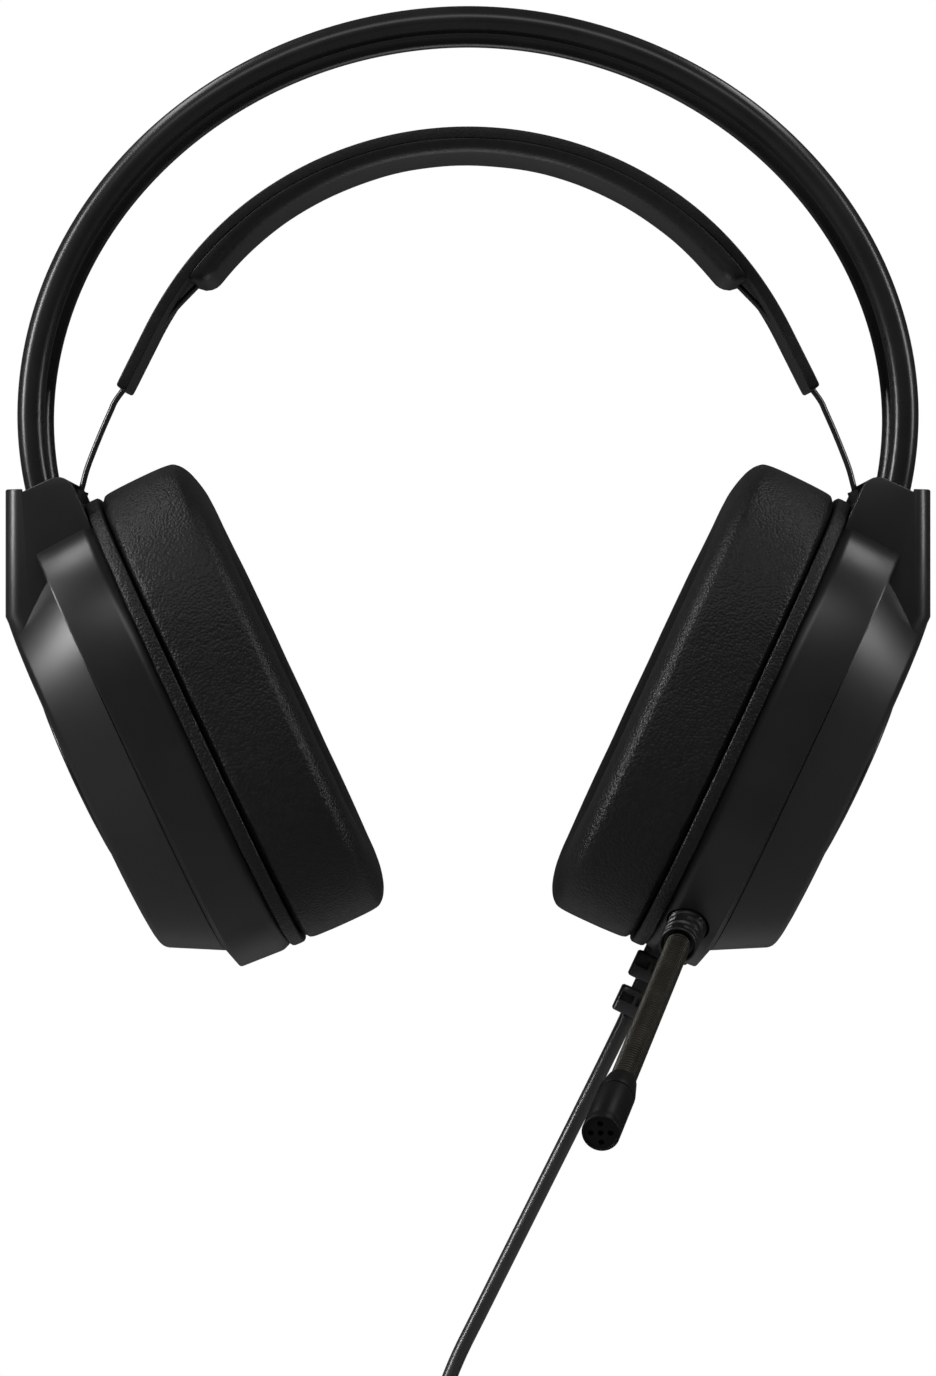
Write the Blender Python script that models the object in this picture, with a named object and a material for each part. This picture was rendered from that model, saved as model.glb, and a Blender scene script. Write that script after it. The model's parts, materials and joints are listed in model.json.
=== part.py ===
# Over-ear gaming headset with a suspended headband.
# Metres, +Z up. The origin is the middle of the headband pad's underside, and the wearer faces -Y.
# The wearer's left cup, at +X, carries the microphone and the cable.
import math

import bmesh
import bpy
from mathutils import Matrix, Vector

MM = 0.001
FIT = 0.3 * MM  # gap between pieces that touch

# Arch: two tubes bent to a near ellipse, with straight feet in the cups' brackets
ARCH_HALF_WIDTH = 93.95 * MM
ARCH_RISE = 85.0 * MM
ARCH_CENTRE_Z = -55.3 * MM
ARCH_POWER = 1.97  # 2 would be an ellipse
ARCH_FOOT_DROP = 15.4 * MM  # the feet's depth under the arch's widest point
TUBE_RADIUS = 3.0 * MM
TUBE_SPACING = 32.0 * MM
TUBE_STEPS = 28
SOCKET_DEPTH = 10.5 * MM

# Headband: a strap on an arc with straight ends, a pad under it and a sleeve at each end
STRAP_RADIUS = 77.8 * MM  # outer face
STRAP_TOP_Z = 6.5 * MM
STRAP_THICKNESS = 1.8 * MM
STRAP_HALF_ANGLE = math.radians(63.4)
STRAP_TAIL = 13.9 * MM
STRAP_GROOVE = 1.4 * MM  # depth of the wire's groove in the strap's underside
STRAP_MIDDLE_WIDTH = 40.0 * MM
STRAP_END_WIDTH = 32.0 * MM
STRAP_STEPS = 20
PAD_RADIUS = 68.7 * MM  # underside
PAD_HALF_ANGLE = math.radians(53.0)
PAD_CROWN = 1.4 * MM
PAD_END_ROUND = 5.0 * MM
PAD_TOP_ROUND = 1.2 * MM
PAD_EDGE_ROUND = 0.8 * MM
PAD_STEPS = 18
SLEEVE_START = math.radians(62.0)
SLEEVE_THICKNESS = 0.5 * MM  # the facing that closes the wire's groove
GROOVE_WIDTH = 2.0 * MM

# Ear cup: every outline is the ring's own outline, moved in by an inset
CUP_TILT = math.radians(25.0)
RING_HALF_Z = 52.2 * MM
RING_HALF_Y = 43.5 * MM
OUTLINE_POWER = 3.0
OUTLINE_POINTS = 32
RING_RIM_W = 1.7 * MM  # distances W run outwards along the cup's axis
RING_OUTER_W = 14.9 * MM
RING_CHAMFER = 1.1 * MM
RING_DRAFT = 0.65 * MM
RING_EDGE = 0.4 * MM
RING_SLOPE_W = 1.3 * MM  # the outer face slopes in towards the cover
RING_SLOPE_INSET = 4.4 * MM
RING_WALL = 2.7 * MM
SHOULDER_THICKNESS = 1.4 * MM
OPENING_INSET = 7.7 * MM

# Bracket that rises from the ring and holds the tubes
BRACKET_RISE = 8.5 * MM
BRACKET_CHEEK = 7.15 * MM  # material in front of and behind the tubes
BRACKET_INNER_W = 2.0 * MM
BRACKET_TUBE_W = 9.0 * MM
BRACKET_TOP_W = 15.9 * MM
BRACKET_OUTER_W = 26.5 * MM
BRACKET_TIP_DROP = 21.2 * MM  # the wedge's tip under the ring's top
BRACKET_ROUND = 3.5 * MM
BRACKET_EDGE = 0.9 * MM
BRACKET_LIP = 2.0 * MM  # height of the ridge along the bracket's outer wall
BRACKET_LIP_WIDTH = 2.6 * MM

# Outer cover and its cap
COVER_STEP = 5.25 * MM
COVER_TAPER = 6.05 * MM
COVER_EDGE_W = 27.2 * MM
COVER_EDGE_ROUND = 1.2 * MM
COVER_CROWN = 1.0 * MM
COVER_WALL = 1.8 * MM
SPIGOT_DEPTH = 2.0 * MM
SPIGOT_WALL = 1.5 * MM
CAP_RADIUS = 20.3 * MM
CAP_SEAT_DEPTH = 0.8 * MM
CAP_RISE = 1.45 * MM
POST_RADIUS = 1.8 * MM
POST_Z = -14.0 * MM

# Baffle, screen, driver and screws
BAFFLE_FRONT_W = -0.7 * MM
BAFFLE_INSET = 1.6 * MM
SCREEN_THICKNESS = 0.35 * MM
SCREEN_INSET = 14.0 * MM
DRIVER_RADIUS = 25.0 * MM
DRIVER_DEPTH = 8.4 * MM
DRIVER_WALL = 1.2 * MM
DRIVER_BACK_RADIUS = 15.0 * MM
DRIVER_VENT_RADIUS = 6.0 * MM
COLLAR_WALL = 1.5 * MM
COLLAR_DEPTH = 3.0 * MM
FILM_DOME = 1.2 * MM
MAGNET_RADIUS = 12.5 * MM
MAGNET_THICKNESS = 3.4 * MM
SOUND_HOLE_RADIUS = 4.0 * MM
SOUND_HOLE_PITCH = 11.0 * MM
PILLAR_RADIUS = 2.8 * MM
PILLAR_INSET = 4.9 * MM
SCREW_RADIUS = 1.0 * MM
SCREW_LENGTH = 8.0 * MM
SCREW_HEAD_RADIUS = 2.4 * MM
SCREW_HEAD_HEIGHT = 0.9 * MM
ROUND_POINTS = 16
FINE_POINTS = 24

# Ear cushion and skirt
SKIRT_OVERHANG = 0.8 * MM
SKIRT_FRONT_W = -1.3 * MM
CUSHION_OVERHANG = 0.9 * MM
CUSHION_LIFT = 0.65 * MM  # the leather's outline sits this much higher than the ring's
CUSHION_BACK_W = -1.7 * MM
CUSHION_DEPTH = 20.8 * MM
CUSHION_WIDTH = 22.4 * MM

# Suspension: a wire from the strap through the bracket to an elastic band
WIRE_RADIUS = 0.65 * MM
WIRE_PAD_DEPTH = 3.6 * MM  # the wire's depth under the strap's outer face at the pad's end
WIRE_ENTRY_DROP = 4.1 * MM  # the wire's entry under the bracket's top
WIRE_ENTRY_ANGLE = math.radians(44.0)  # from the bracket's inner face
BUSH_RADIUS = 1.7 * MM
BUSH_LENGTH = 5.0 * MM
BUSH_PROUD = 0.4 * MM
BEAD_RADIUS = 1.6 * MM
BEAD_LENGTH = 4.0 * MM
BEAD_W = 18.6 * MM
BEAD_DROP = 20.7 * MM  # the bead under the ring's highest point
ELASTIC_WIDTH = 6.6 * MM
ELASTIC_THICKNESS = 0.9 * MM

# Microphone on the left cup's ring
MIC_W = 7.2 * MM
MIC_RISE = 6.8 * MM  # the boot above the ring's lowest point
MIC_DROP = math.radians(22.0)
MIC_TOE_IN = math.radians(1.25)
BOOT_RADIUS = 4.5 * MM
BOOT_CATCH_RADIUS = 4.3 * MM  # behind the cup's wall
BOOT_SHANK_RADIUS = 3.4 * MM
BOOT_ROOT = 9.3 * MM
BOOT_FLANGE = 1.5 * MM
BOOT_LENGTH = 7.7 * MM
BOOT_CATCH = 1.2 * MM
BOOT_RIDGE_COUNT = 3
BOOT_RIDGE_TAPER = 0.2 * MM
BOOT_MOUTH_ROUND = 0.35 * MM
NECK_RADIUS = 2.55 * MM
NECK_RIB = 0.28 * MM
NECK_BORE = 1.0 * MM
NECK_ROOT = 5.0 * MM
NECK_SPLIT = 42.0 * MM
NECK_END = 85.5 * MM
NECK_RIBS = 18  # on each half
NECK_SIDES = 8
CAPSULE_RADIUS = 3.9 * MM
CAPSULE_WALL = 0.7 * MM
CAPSULE_END = 109.7 * MM
MIC_SIDES = 12
COLLAR_LENGTH = 8.2 * MM
COLLAR_GRIP = 3.0 * MM
COLLAR_LIP = 0.7 * MM  # wall at the collar's thin end
COLLAR_BAND = 1.2 * MM
END_CAP_DEPTH = 2.6 * MM
END_CAP_ROUND = 0.6 * MM
MIC_HOLE_RADIUS = 0.65 * MM
MIC_HOLE_PITCH = 2.1 * MM
ELECTRET_LENGTH = 6.0 * MM

# Volume wheel, potentiometer and sound board in the left cup
WHEEL_RADIUS = 7.5 * MM
WHEEL_THICKNESS = 2.4 * MM
WHEEL_W = 10.2 * MM
WHEEL_Y = 9.0 * MM
WHEEL_PROUD = 1.2 * MM
WHEEL_RIDGE_COUNT = 16
WHEEL_RIDGE = 0.45 * MM
SHAFT_RADIUS = 1.4 * MM
POT_RADIUS = 3.8 * MM
BOARD_W = 4.3 * MM
BOARD_THICKNESS = 1.6 * MM
BOARD_Y = (-16.0 * MM, 22.0 * MM)
BOARD_RISE = 6.9 * MM  # the board's lower edge above the ring's lowest point
BOARD_HEIGHT = 14.8 * MM
SHELF_THICKNESS = 1.8 * MM
SHELF_RISE = 10.2 * MM
SHELVES_Y = ((-14.0 * MM, -8.0 * MM), (15.0 * MM, 20.0 * MM))

# Cable: strain relief, lead, coil, tail and plug
RELIEF_W = 5.2 * MM
RELIEF_HALF_W = 2.8 * MM
RELIEF_HALF_Y = 2.6 * MM
RELIEF_ROOT_HALF_Y = 4.2 * MM
RELIEF_ROOT = 1.6 * MM
RELIEF_START = 1.1 * MM  # from the ring to the first block
RELIEF_BLOCKS = 2
RELIEF_BLOCK_LENGTH = 5.9 * MM
RELIEF_GAP = 2.3 * MM
RELIEF_SLOT = 1.9 * MM
RELIEF_BLOCK_HALF_W = 3.9 * MM
RELIEF_NOTCH = 2.0 * MM
RELIEF_CORNER = 0.6 * MM
CABLE_RADIUS = 1.65 * MM
LEAD_ROUTE = (  # millimetres, from the strain relief to the coil
    (28.7, 0.0, -197.6),
    (16.2, 0.0, -222.6),
    (3.7, 0.0, -247.6),
    (-2.6, -0.4, -260.4),
    (-5.9, -2.0, -269.7),
    (-7.0, -3.8, -278.6),
    (-7.1, -5.2, -286.2),
)
LEAD_POINTS = 18
COIL_X = 18.7 * MM
COIL_Z = -295.0 * MM
COIL_OUTER = 25.8 * MM
COIL_PITCH = 3.85 * MM
COIL_TURNS = 3.5  # in each layer
COIL_LAYERS = 4
COIL_LOOP_POINTS = 24
TIE_WIDTH = 8.0 * MM
TIE_THICKNESS = 1.2 * MM
TIE_SLACK = 0.6 * MM
TAIL_DROP = 15.0 * MM
PLUG_THICKNESS = 8.0 * MM
PLUG_WIDTH = 16.0 * MM
PLUG_LENGTH = 20.0 * MM
PLUG_NECK_RADIUS = 2.5 * MM
PLUG_NECK_LENGTH = 7.0 * MM
SHELL_THICKNESS = 4.5 * MM
SHELL_WIDTH = 12.0 * MM
SHELL_REACH = 12.0 * MM  # from the plug's face
SHELL_WALL = 0.3 * MM
SHELL_SEAT = 1.5 * MM  # depth of the shell's pocket in the plug
TONGUE_THICKNESS = 1.8 * MM
TONGUE_SHORT = 2.0 * MM


# Scene, materials and objects

def clear_scene():
    for piece in list(bpy.data.objects):
        bpy.data.objects.remove(piece, do_unlink=True)


def finish(name, colour, roughness, metallic=0.0):
    material = bpy.data.materials.new(name)
    material.use_nodes = True
    shader = material.node_tree.nodes["Principled BSDF"]
    shader.inputs["Base Color"].default_value = (*colour, 1.0)
    shader.inputs["Roughness"].default_value = roughness
    shader.inputs["Metallic"].default_value = metallic
    material.diffuse_color = (*colour, 1.0)
    return material


def empty(name, location, rotation=None, parent=None):
    marker = bpy.data.objects.new(name, None)
    bpy.context.scene.collection.objects.link(marker)
    marker.parent = parent
    marker.location = location
    if rotation is not None:
        marker.rotation_euler = rotation.to_euler()
    return marker


def add(name, data, material, parent=None, side=1):
    # side -1 mirrors a mesh that is modelled for the left cup
    if side < 0:
        data.transform(Matrix.Scale(-1, 4, (1, 0, 0)))
        data.flip_normals()
    if isinstance(data, bpy.types.Mesh):
        data.shade_smooth()
        data.set_sharp_from_angle(angle=math.radians(35))
    data.materials.append(material)
    piece = bpy.data.objects.new(name, data)
    bpy.context.scene.collection.objects.link(piece)
    piece.parent = parent
    return piece


def tool(piece):
    piece.hide_render = True
    piece.display_type = "WIRE"
    return piece


def combine(piece, other, operation):
    modifier = piece.modifiers.new(other.name, "BOOLEAN")
    modifier.operation = operation
    modifier.solver = "EXACT"
    modifier.object = tool(other)


# Shapes

def loft(loops, ring=False):
    # skin through loops with equal counts, closed by end faces or, for a ring, back onto the first loop
    shape = bmesh.new()
    rows = [[shape.verts.new(point) for point in loop] for loop in loops]
    pairs = list(zip(rows, rows[1:]))
    if ring:
        pairs.append((rows[-1], rows[0]))
    else:
        shape.faces.new(rows[0])
        shape.faces.new(rows[-1])
    for first, second in pairs:
        for k in range(len(first)):
            after = (k + 1) % len(first)
            shape.faces.new((first[k], first[after], second[after], second[k]))
    bmesh.ops.recalc_face_normals(shape, faces=shape.faces)
    mesh = bpy.data.meshes.new("loft")
    shape.to_mesh(mesh)
    shape.free()
    return mesh


def oval(w, inset):
    half_y = RING_HALF_Y - inset
    half_z = RING_HALF_Z - inset
    loop = []
    for k in range(OUTLINE_POINTS):
        angle = math.tau * k / OUTLINE_POINTS
        c = math.cos(angle)
        s = math.sin(angle)
        reach = abs(c / half_y) ** OUTLINE_POWER + abs(s / half_z) ** OUTLINE_POWER
        reach = reach ** (-1 / OUTLINE_POWER)
        loop.append(Vector((w, reach * c, reach * s)))
    return loop


def oval_z(y, inset):
    share = 1 - abs(y / (RING_HALF_Y - inset)) ** OUTLINE_POWER
    return (RING_HALF_Z - inset) * share ** (1 / OUTLINE_POWER)


def oval_y(z, inset):
    share = 1 - abs(z / (RING_HALF_Z - inset)) ** OUTLINE_POWER
    return (RING_HALF_Y - inset) * share ** (1 / OUTLINE_POWER)


def disc(w, radius, y=0.0, z=0.0, points=ROUND_POINTS):
    loop = []
    for k in range(points):
        angle = math.tau * k / points
        loop.append(Vector((w, y + radius * math.cos(angle), z + radius * math.sin(angle))))
    return loop


def circle(height, radius, points=ROUND_POINTS):
    loop = []
    for k in range(points):
        angle = math.tau * (k + 0.5) / points
        loop.append(Vector((radius * math.cos(angle), radius * math.sin(angle), height)))
    return loop


def soft_rectangle(height, half_x, half_y, corner, x=0.0, y=0.0):
    sides = ((1, 1), (-1, 1), (-1, -1), (1, -1))
    loop = []
    for sx, sy in sides:
        near_x = Vector((x + sx * half_x, y + sy * (half_y - corner), height))
        near_y = Vector((x + sx * (half_x - corner), y + sy * half_y, height))
        loop += [near_x, near_y] if sx == sy else [near_y, near_x]
    return loop


def block(low, high):
    loops = []
    for w in (low[0], high[0]):
        loops.append([
            Vector((w, low[1], low[2])),
            Vector((w, high[1], low[2])),
            Vector((w, high[1], high[2])),
            Vector((w, low[1], high[2])),
        ])
    return loft(loops)


def rod(start, direction, length, radius, points=ROUND_POINTS):
    # closed cylinder along a direction
    turn = direction.to_track_quat("Z", "Y").to_matrix().to_4x4()
    mesh = loft([circle(0.0, radius, points), circle(length, radius, points)])
    mesh.transform(Matrix.Translation(start) @ turn)
    return mesh


def tube(points, radius, resolution, radii=None):
    curve = bpy.data.curves.new("tube", "CURVE")
    curve.dimensions = "3D"
    curve.bevel_depth = radius
    curve.bevel_resolution = resolution
    curve.use_fill_caps = True
    curve.resolution_u = 1
    curve.render_resolution_u = 0
    spline = curve.splines.new("POLY")
    spline.points.add(len(points) - 1)
    for k, point in enumerate(points):
        spline.points[k].co = (*point, 1.0)
        spline.points[k].radius = radii[k] if radii else 1.0
    return curve


def smooth_route(knots, count):
    # evenly spaced points on a smooth curve through the knots
    fine = []
    for k in range(len(knots) - 1):
        before = knots[max(k - 1, 0)]
        start = knots[k]
        end = knots[k + 1]
        after = knots[min(k + 2, len(knots) - 1)]
        for step in range(24):
            t = step / 24
            fine.append(0.5 * (
                2 * start + (end - before) * t
                + (2 * before - 5 * start + 4 * end - after) * t ** 2
                + (3 * start - before - 3 * end + after) * t ** 3
            ))
    fine.append(knots[-1])
    reach = [0.0]
    for first, second in zip(fine, fine[1:]):
        reach.append(reach[-1] + (second - first).length)
    route = []
    k = 0
    for step in range(count):
        target = reach[-1] * step / (count - 1)
        while k < len(fine) - 2 and reach[k + 1] < target:
            k += 1
        share = (target - reach[k]) / (reach[k + 1] - reach[k])
        route.append(fine[k].lerp(fine[k + 1], share))
    return route


# Places that several pieces share

def arch_foot():
    # where a left foot enters its bracket, and the tube's direction there, going down
    drop = ARCH_FOOT_DROP / ARCH_RISE
    share = (1 - drop ** ARCH_POWER) ** (1 / ARCH_POWER)
    x = ARCH_HALF_WIDTH * share
    lean = ARCH_HALF_WIDTH / ARCH_RISE * (drop / share) ** (ARCH_POWER - 1)
    point = Vector((x, 0, ARCH_CENTRE_Z - ARCH_FOOT_DROP))
    return point, Vector((-lean, 0, -1)).normalized()


CUP_TURN = Matrix.Rotation(CUP_TILT, 4, "Y")
BRACKET_TOP_Z = RING_HALF_Z + BRACKET_RISE
BRACKET_HALF_Y = TUBE_SPACING / 2 + TUBE_RADIUS + BRACKET_CHEEK
FOOT_POINT, FOOT_DIRECTION = arch_foot()
CUP_CENTRE = FOOT_POINT - CUP_TURN @ Vector((BRACKET_TUBE_W, 0, BRACKET_TOP_Z))
FOOT_IN_CUP = CUP_TURN.inverted() @ FOOT_DIRECTION
SHOULDER_W = RING_OUTER_W - SHOULDER_THICKNESS
COVER_BASE_W = RING_OUTER_W + FIT
CAP_SEAT_W = COVER_EDGE_W + COVER_CROWN - CAP_SEAT_DEPTH
BAFFLE_BACK_W = RING_RIM_W - FIT
WIRE_IN_CUP = Vector((math.sin(WIRE_ENTRY_ANGLE), 0, -math.cos(WIRE_ENTRY_ANGLE)))
WIRE_ENTRY = Vector((BRACKET_INNER_W, 0, BRACKET_TOP_Z - WIRE_ENTRY_DROP))
STRAP_CENTRE_Z = STRAP_TOP_Z - STRAP_RADIUS
CAVITY_INSET = RING_WALL
COIL_CENTRE = Vector((COIL_X, 0, COIL_Z))
BEAD_Z = RING_HALF_Z - BEAD_DROP
MIC_Z = MIC_RISE - RING_HALF_Z
BOARD_LOW_Z = BOARD_RISE - RING_HALF_Z
SHELF_Z = SHELF_RISE - RING_HALF_Z


def cup_point(point, side=1):
    place = CUP_CENTRE + CUP_TURN @ point
    return Vector((side * place.x, place.y, place.z))


def cup_direction(direction, side=1):
    turned = CUP_TURN @ direction
    return Vector((side * turned.x, turned.y, turned.z))


def band_point(along, depth):
    # a point under the strap's outer face; along is the arc length from the top, then the straight tail
    arc = STRAP_RADIUS * STRAP_HALF_ANGLE
    angle = max(-STRAP_HALF_ANGLE, min(STRAP_HALF_ANGLE, along / STRAP_RADIUS))
    out = Vector((math.sin(angle), 0, math.cos(angle)))
    run = Vector((math.cos(angle), 0, -math.sin(angle)))
    extra = max(0.0, abs(along) - arc) * (1 if along > 0 else -1)
    return Vector((0, 0, STRAP_CENTRE_Z)) + out * (STRAP_RADIUS - depth) + run * extra


def boom_turn():
    # the microphone boom's axes in the world: its length is local +Z, and local X lies along the cup's axis
    down = Vector((
        -math.sin(MIC_TOE_IN),
        -math.cos(MIC_DROP) * math.cos(MIC_TOE_IN),
        -math.sin(MIC_DROP) * math.cos(MIC_TOE_IN),
    ))
    along = cup_direction(down)
    outwards = cup_direction(Vector((1, 0, 0)))
    across = (outwards - along * outwards.dot(along)).normalized()
    third = along.cross(across)
    return Matrix((across, third, along)).transposed()


MIC_SEAT = Vector((MIC_W, -oval_y(MIC_Z, 0.0), MIC_Z))
BOOM_TURN = boom_turn()
BOOM_START = cup_point(MIC_SEAT)
BOOM_ALONG = BOOM_TURN @ Vector((0, 0, 1))
BOOM_IN_CUP = CUP_TURN.to_3x3().inverted() @ BOOM_ALONG
WHEEL_CENTRE = Vector((
    WHEEL_W,
    WHEEL_Y,
    WHEEL_RADIUS - WHEEL_PROUD - oval_z(WHEEL_Y, RING_DRAFT),
))
RELIEF_PITCH = RELIEF_BLOCK_LENGTH + RELIEF_GAP
RELIEF_END_Z = RELIEF_GAP - RING_HALF_Z - RELIEF_START - RELIEF_BLOCKS * RELIEF_PITCH


# Arch and headband

def build_arch(gloss):
    start = -math.asin((ARCH_FOOT_DROP / ARCH_RISE) ** (ARCH_POWER / 2))
    bend = 2 / ARCH_POWER
    foot = FOOT_DIRECTION * (SOCKET_DEPTH - FIT)
    for name, y in (("arch_tube_front", -TUBE_SPACING / 2), ("arch_tube_rear", TUBE_SPACING / 2)):
        points = []
        for k in range(TUBE_STEPS + 1):
            angle = start + (math.pi - 2 * start) * k / TUBE_STEPS
            c = math.cos(angle)
            s = math.sin(angle)
            x = math.copysign(ARCH_HALF_WIDTH * abs(c) ** bend, c)
            z = math.copysign(ARCH_RISE * abs(s) ** bend, s)
            points.append(Vector((x, y, ARCH_CENTRE_Z + z)))
        first = points[0] + foot
        last = points[-1] + Vector((-foot.x, 0, foot.z))
        add(name, tube([first, *points, last], TUBE_RADIUS, 2), gloss)


def strap_half_width(along):
    pad_end = STRAP_RADIUS * PAD_HALF_ANGLE
    end = STRAP_RADIUS * STRAP_HALF_ANGLE
    share = min(1.0, max(0.0, (abs(along) - 0.7 * pad_end) / (end - 0.7 * pad_end)))
    share = share * share * (3 - 2 * share)
    return (STRAP_MIDDLE_WIDTH + (STRAP_END_WIDTH - STRAP_MIDDLE_WIDTH) * share) / 2


def band_section(along, outline):
    # outline points are (y, depth under the strap's outer face)
    loop = []
    for y, depth in outline:
        point = band_point(along, depth)
        loop.append(Vector((point.x, y, point.z)))
    return loop


def build_strap(leather):
    arc = STRAP_RADIUS * STRAP_HALF_ANGLE
    stations = [arc * (2 * k / STRAP_STEPS - 1) for k in range(STRAP_STEPS + 1)]
    stations = [-arc - STRAP_TAIL, *stations, arc + STRAP_TAIL]
    edge = STRAP_THICKNESS / 3
    groove = GROOVE_WIDTH / 2
    loops = []
    for along in stations:
        half = strap_half_width(along)
        outline = (
            (-half, edge), (-half + edge, 0), (half - edge, 0), (half, edge),
            (half, STRAP_THICKNESS - edge), (half - edge, STRAP_THICKNESS),
            (groove, STRAP_THICKNESS), (groove, STRAP_THICKNESS - STRAP_GROOVE),
            (-groove, STRAP_THICKNESS - STRAP_GROOVE), (-groove, STRAP_THICKNESS),
            (edge - half, STRAP_THICKNESS), (-half, STRAP_THICKNESS - edge),
        )
        loops.append(band_section(along, outline))
    add("headband_strap", loft(loops), leather)


def pad_depth(angle):
    # how far the pad's underside lies under the strap's outer face, on the line through the strap's centre
    offset = -PAD_RADIUS - STRAP_CENTRE_Z
    reach = math.sqrt(PAD_RADIUS ** 2 - (offset * math.sin(angle)) ** 2)
    return STRAP_RADIUS - (offset * math.cos(angle) + reach)


def build_pad(leather):
    end = STRAP_RADIUS * PAD_HALF_ANGLE
    top = STRAP_THICKNESS + FIT
    half = STRAP_MIDDLE_WIDTH / 2
    round_steps = 3
    flat = end - PAD_END_ROUND
    inner = [flat * (2 * k / PAD_STEPS - 1) for k in range(PAD_STEPS + 1)]
    caps = []
    for k in range(1, round_steps + 1):
        turn = math.pi / 2 * k / (round_steps + 0.4)
        caps.append((flat + PAD_END_ROUND * math.sin(turn), math.cos(turn)))
    stations = [(-a, share) for a, share in reversed(caps)]
    stations += [(a, 1.0) for a in inner] + caps
    loops = []
    for along, share in stations:
        full = pad_depth(along / STRAP_RADIUS) - top
        thick = full * share
        crown = PAD_CROWN * share
        wide = half - PAD_END_ROUND * (1 - share)
        outline = (
            (PAD_TOP_ROUND - wide, top), (0.0, top), (wide - PAD_TOP_ROUND, top),
            (wide, top + 0.4 * (thick - crown)), (wide - PAD_EDGE_ROUND, top + thick - crown),
            (0.62 * wide, top + thick - 0.35 * crown), (0.0, top + thick),
            (-0.62 * wide, top + thick - 0.35 * crown), (PAD_EDGE_ROUND - wide, top + thick - crown),
            (-wide, top + 0.4 * (thick - crown)),
        )
        loops.append(band_section(along, outline))
    add("headband_pad", loft(loops), leather)


def sleeve_stations():
    arc = STRAP_RADIUS * STRAP_HALF_ANGLE
    start = STRAP_RADIUS * SLEEVE_START
    return [start, arc, arc + STRAP_TAIL / 2, arc + STRAP_TAIL]


def wire_depth():
    return STRAP_THICKNESS - STRAP_GROOVE + FIT / 2 + WIRE_RADIUS


def build_sleeves(leather):
    top = STRAP_THICKNESS + FIT
    for name, side in (("left", 1), ("right", -1)):
        loops = []
        for along in sleeve_stations():
            half = strap_half_width(along)
            low = top + SLEEVE_THICKNESS
            outline = ((-half, top), (half, top), (half, low), (-half, low))
            loops.append(band_section(side * along, outline))
        add("strap_sleeve_" + name, loft(loops), leather)


# Ear cups

def bracket_outline():
    # the bracket's side view, (w, z) in the cup's frame; its outer wall and ridge are upright in the world
    points = []
    for k in range(4):
        turn = math.pi - math.pi / 2 * k / 3
        w = BRACKET_INNER_W + BRACKET_ROUND * (1 + math.cos(turn))
        z = BRACKET_TOP_Z - BRACKET_ROUND * (1 - math.sin(turn))
        points.append((w, z))
    slope = (BRACKET_OUTER_W - BRACKET_TOP_W) / math.tan(CUP_TILT)
    tip = RING_HALF_Z - BRACKET_TIP_DROP
    root = RING_OUTER_W - FIT
    base = oval_z(0.0, OPENING_INSET) + RING_CHAMFER
    lean = BRACKET_LIP * math.tan(CUP_TILT)
    points += [
        (BRACKET_TOP_W - BRACKET_LIP_WIDTH, BRACKET_TOP_Z),
        (BRACKET_TOP_W - BRACKET_LIP_WIDTH - lean, BRACKET_TOP_Z + BRACKET_LIP),
        (BRACKET_TOP_W - lean, BRACKET_TOP_Z + BRACKET_LIP),
        (BRACKET_OUTER_W, BRACKET_TOP_Z - slope),
        (BRACKET_OUTER_W, tip),
        (root, tip),
        (root, base),
        (BRACKET_INNER_W, base),
    ]
    return points


def cover_outer(gap):
    # the cover's outside as (w, inset) pairs, grown by a gap
    straight = COVER_EDGE_W - COVER_EDGE_ROUND
    return [
        (COVER_BASE_W, COVER_STEP - gap),
        (straight, COVER_STEP + COVER_TAPER - COVER_EDGE_ROUND * 0.3 - gap),
        (COVER_EDGE_W, COVER_STEP + COVER_TAPER + COVER_EDGE_ROUND - gap),
    ]


def build_bracket(parent, side, plastic):
    outline = bracket_outline()
    loops = []
    for y in (-BRACKET_HALF_Y, BRACKET_HALF_Y):
        loops.append([Vector((w, y, z)) for w, z in outline])
    bracket = add("bracket_tool", loft(loops), plastic, parent, side)
    bevel = bracket.modifiers.new("edges", "BEVEL")
    bevel.width = BRACKET_EDGE
    bevel.segments = 1
    bevel.limit_method = "ANGLE"
    bevel.angle_limit = math.radians(60)
    cavity = loft([oval(-RING_RIM_W, CAVITY_INSET), oval(SHOULDER_W, CAVITY_INSET)])
    combine(bracket, add("cavity_tool", cavity, plastic, parent, side), "DIFFERENCE")
    step = RING_OUTER_W - FIT / 2
    loops = [oval(SHOULDER_W - FIT, OPENING_INSET), oval(step, OPENING_INSET), oval(step, COVER_STEP - FIT)]
    loops += [oval(w, inset) for w, inset in cover_outer(FIT)[1:]]
    loops.append(oval(2 * COVER_EDGE_W, COVER_STEP + COVER_TAPER))
    combine(bracket, add("cover_room_tool", loft(loops), plastic, parent, side), "DIFFERENCE")
    return bracket


def pillar_places():
    places = []
    corner = oval(0.0, PILLAR_INSET)[OUTLINE_POINTS // 8]
    for sy, sz in ((1, 1), (-1, 1), (-1, -1), (1, -1)):
        places.append((sy * corner.y, sz * corner.z))
    return places


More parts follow.
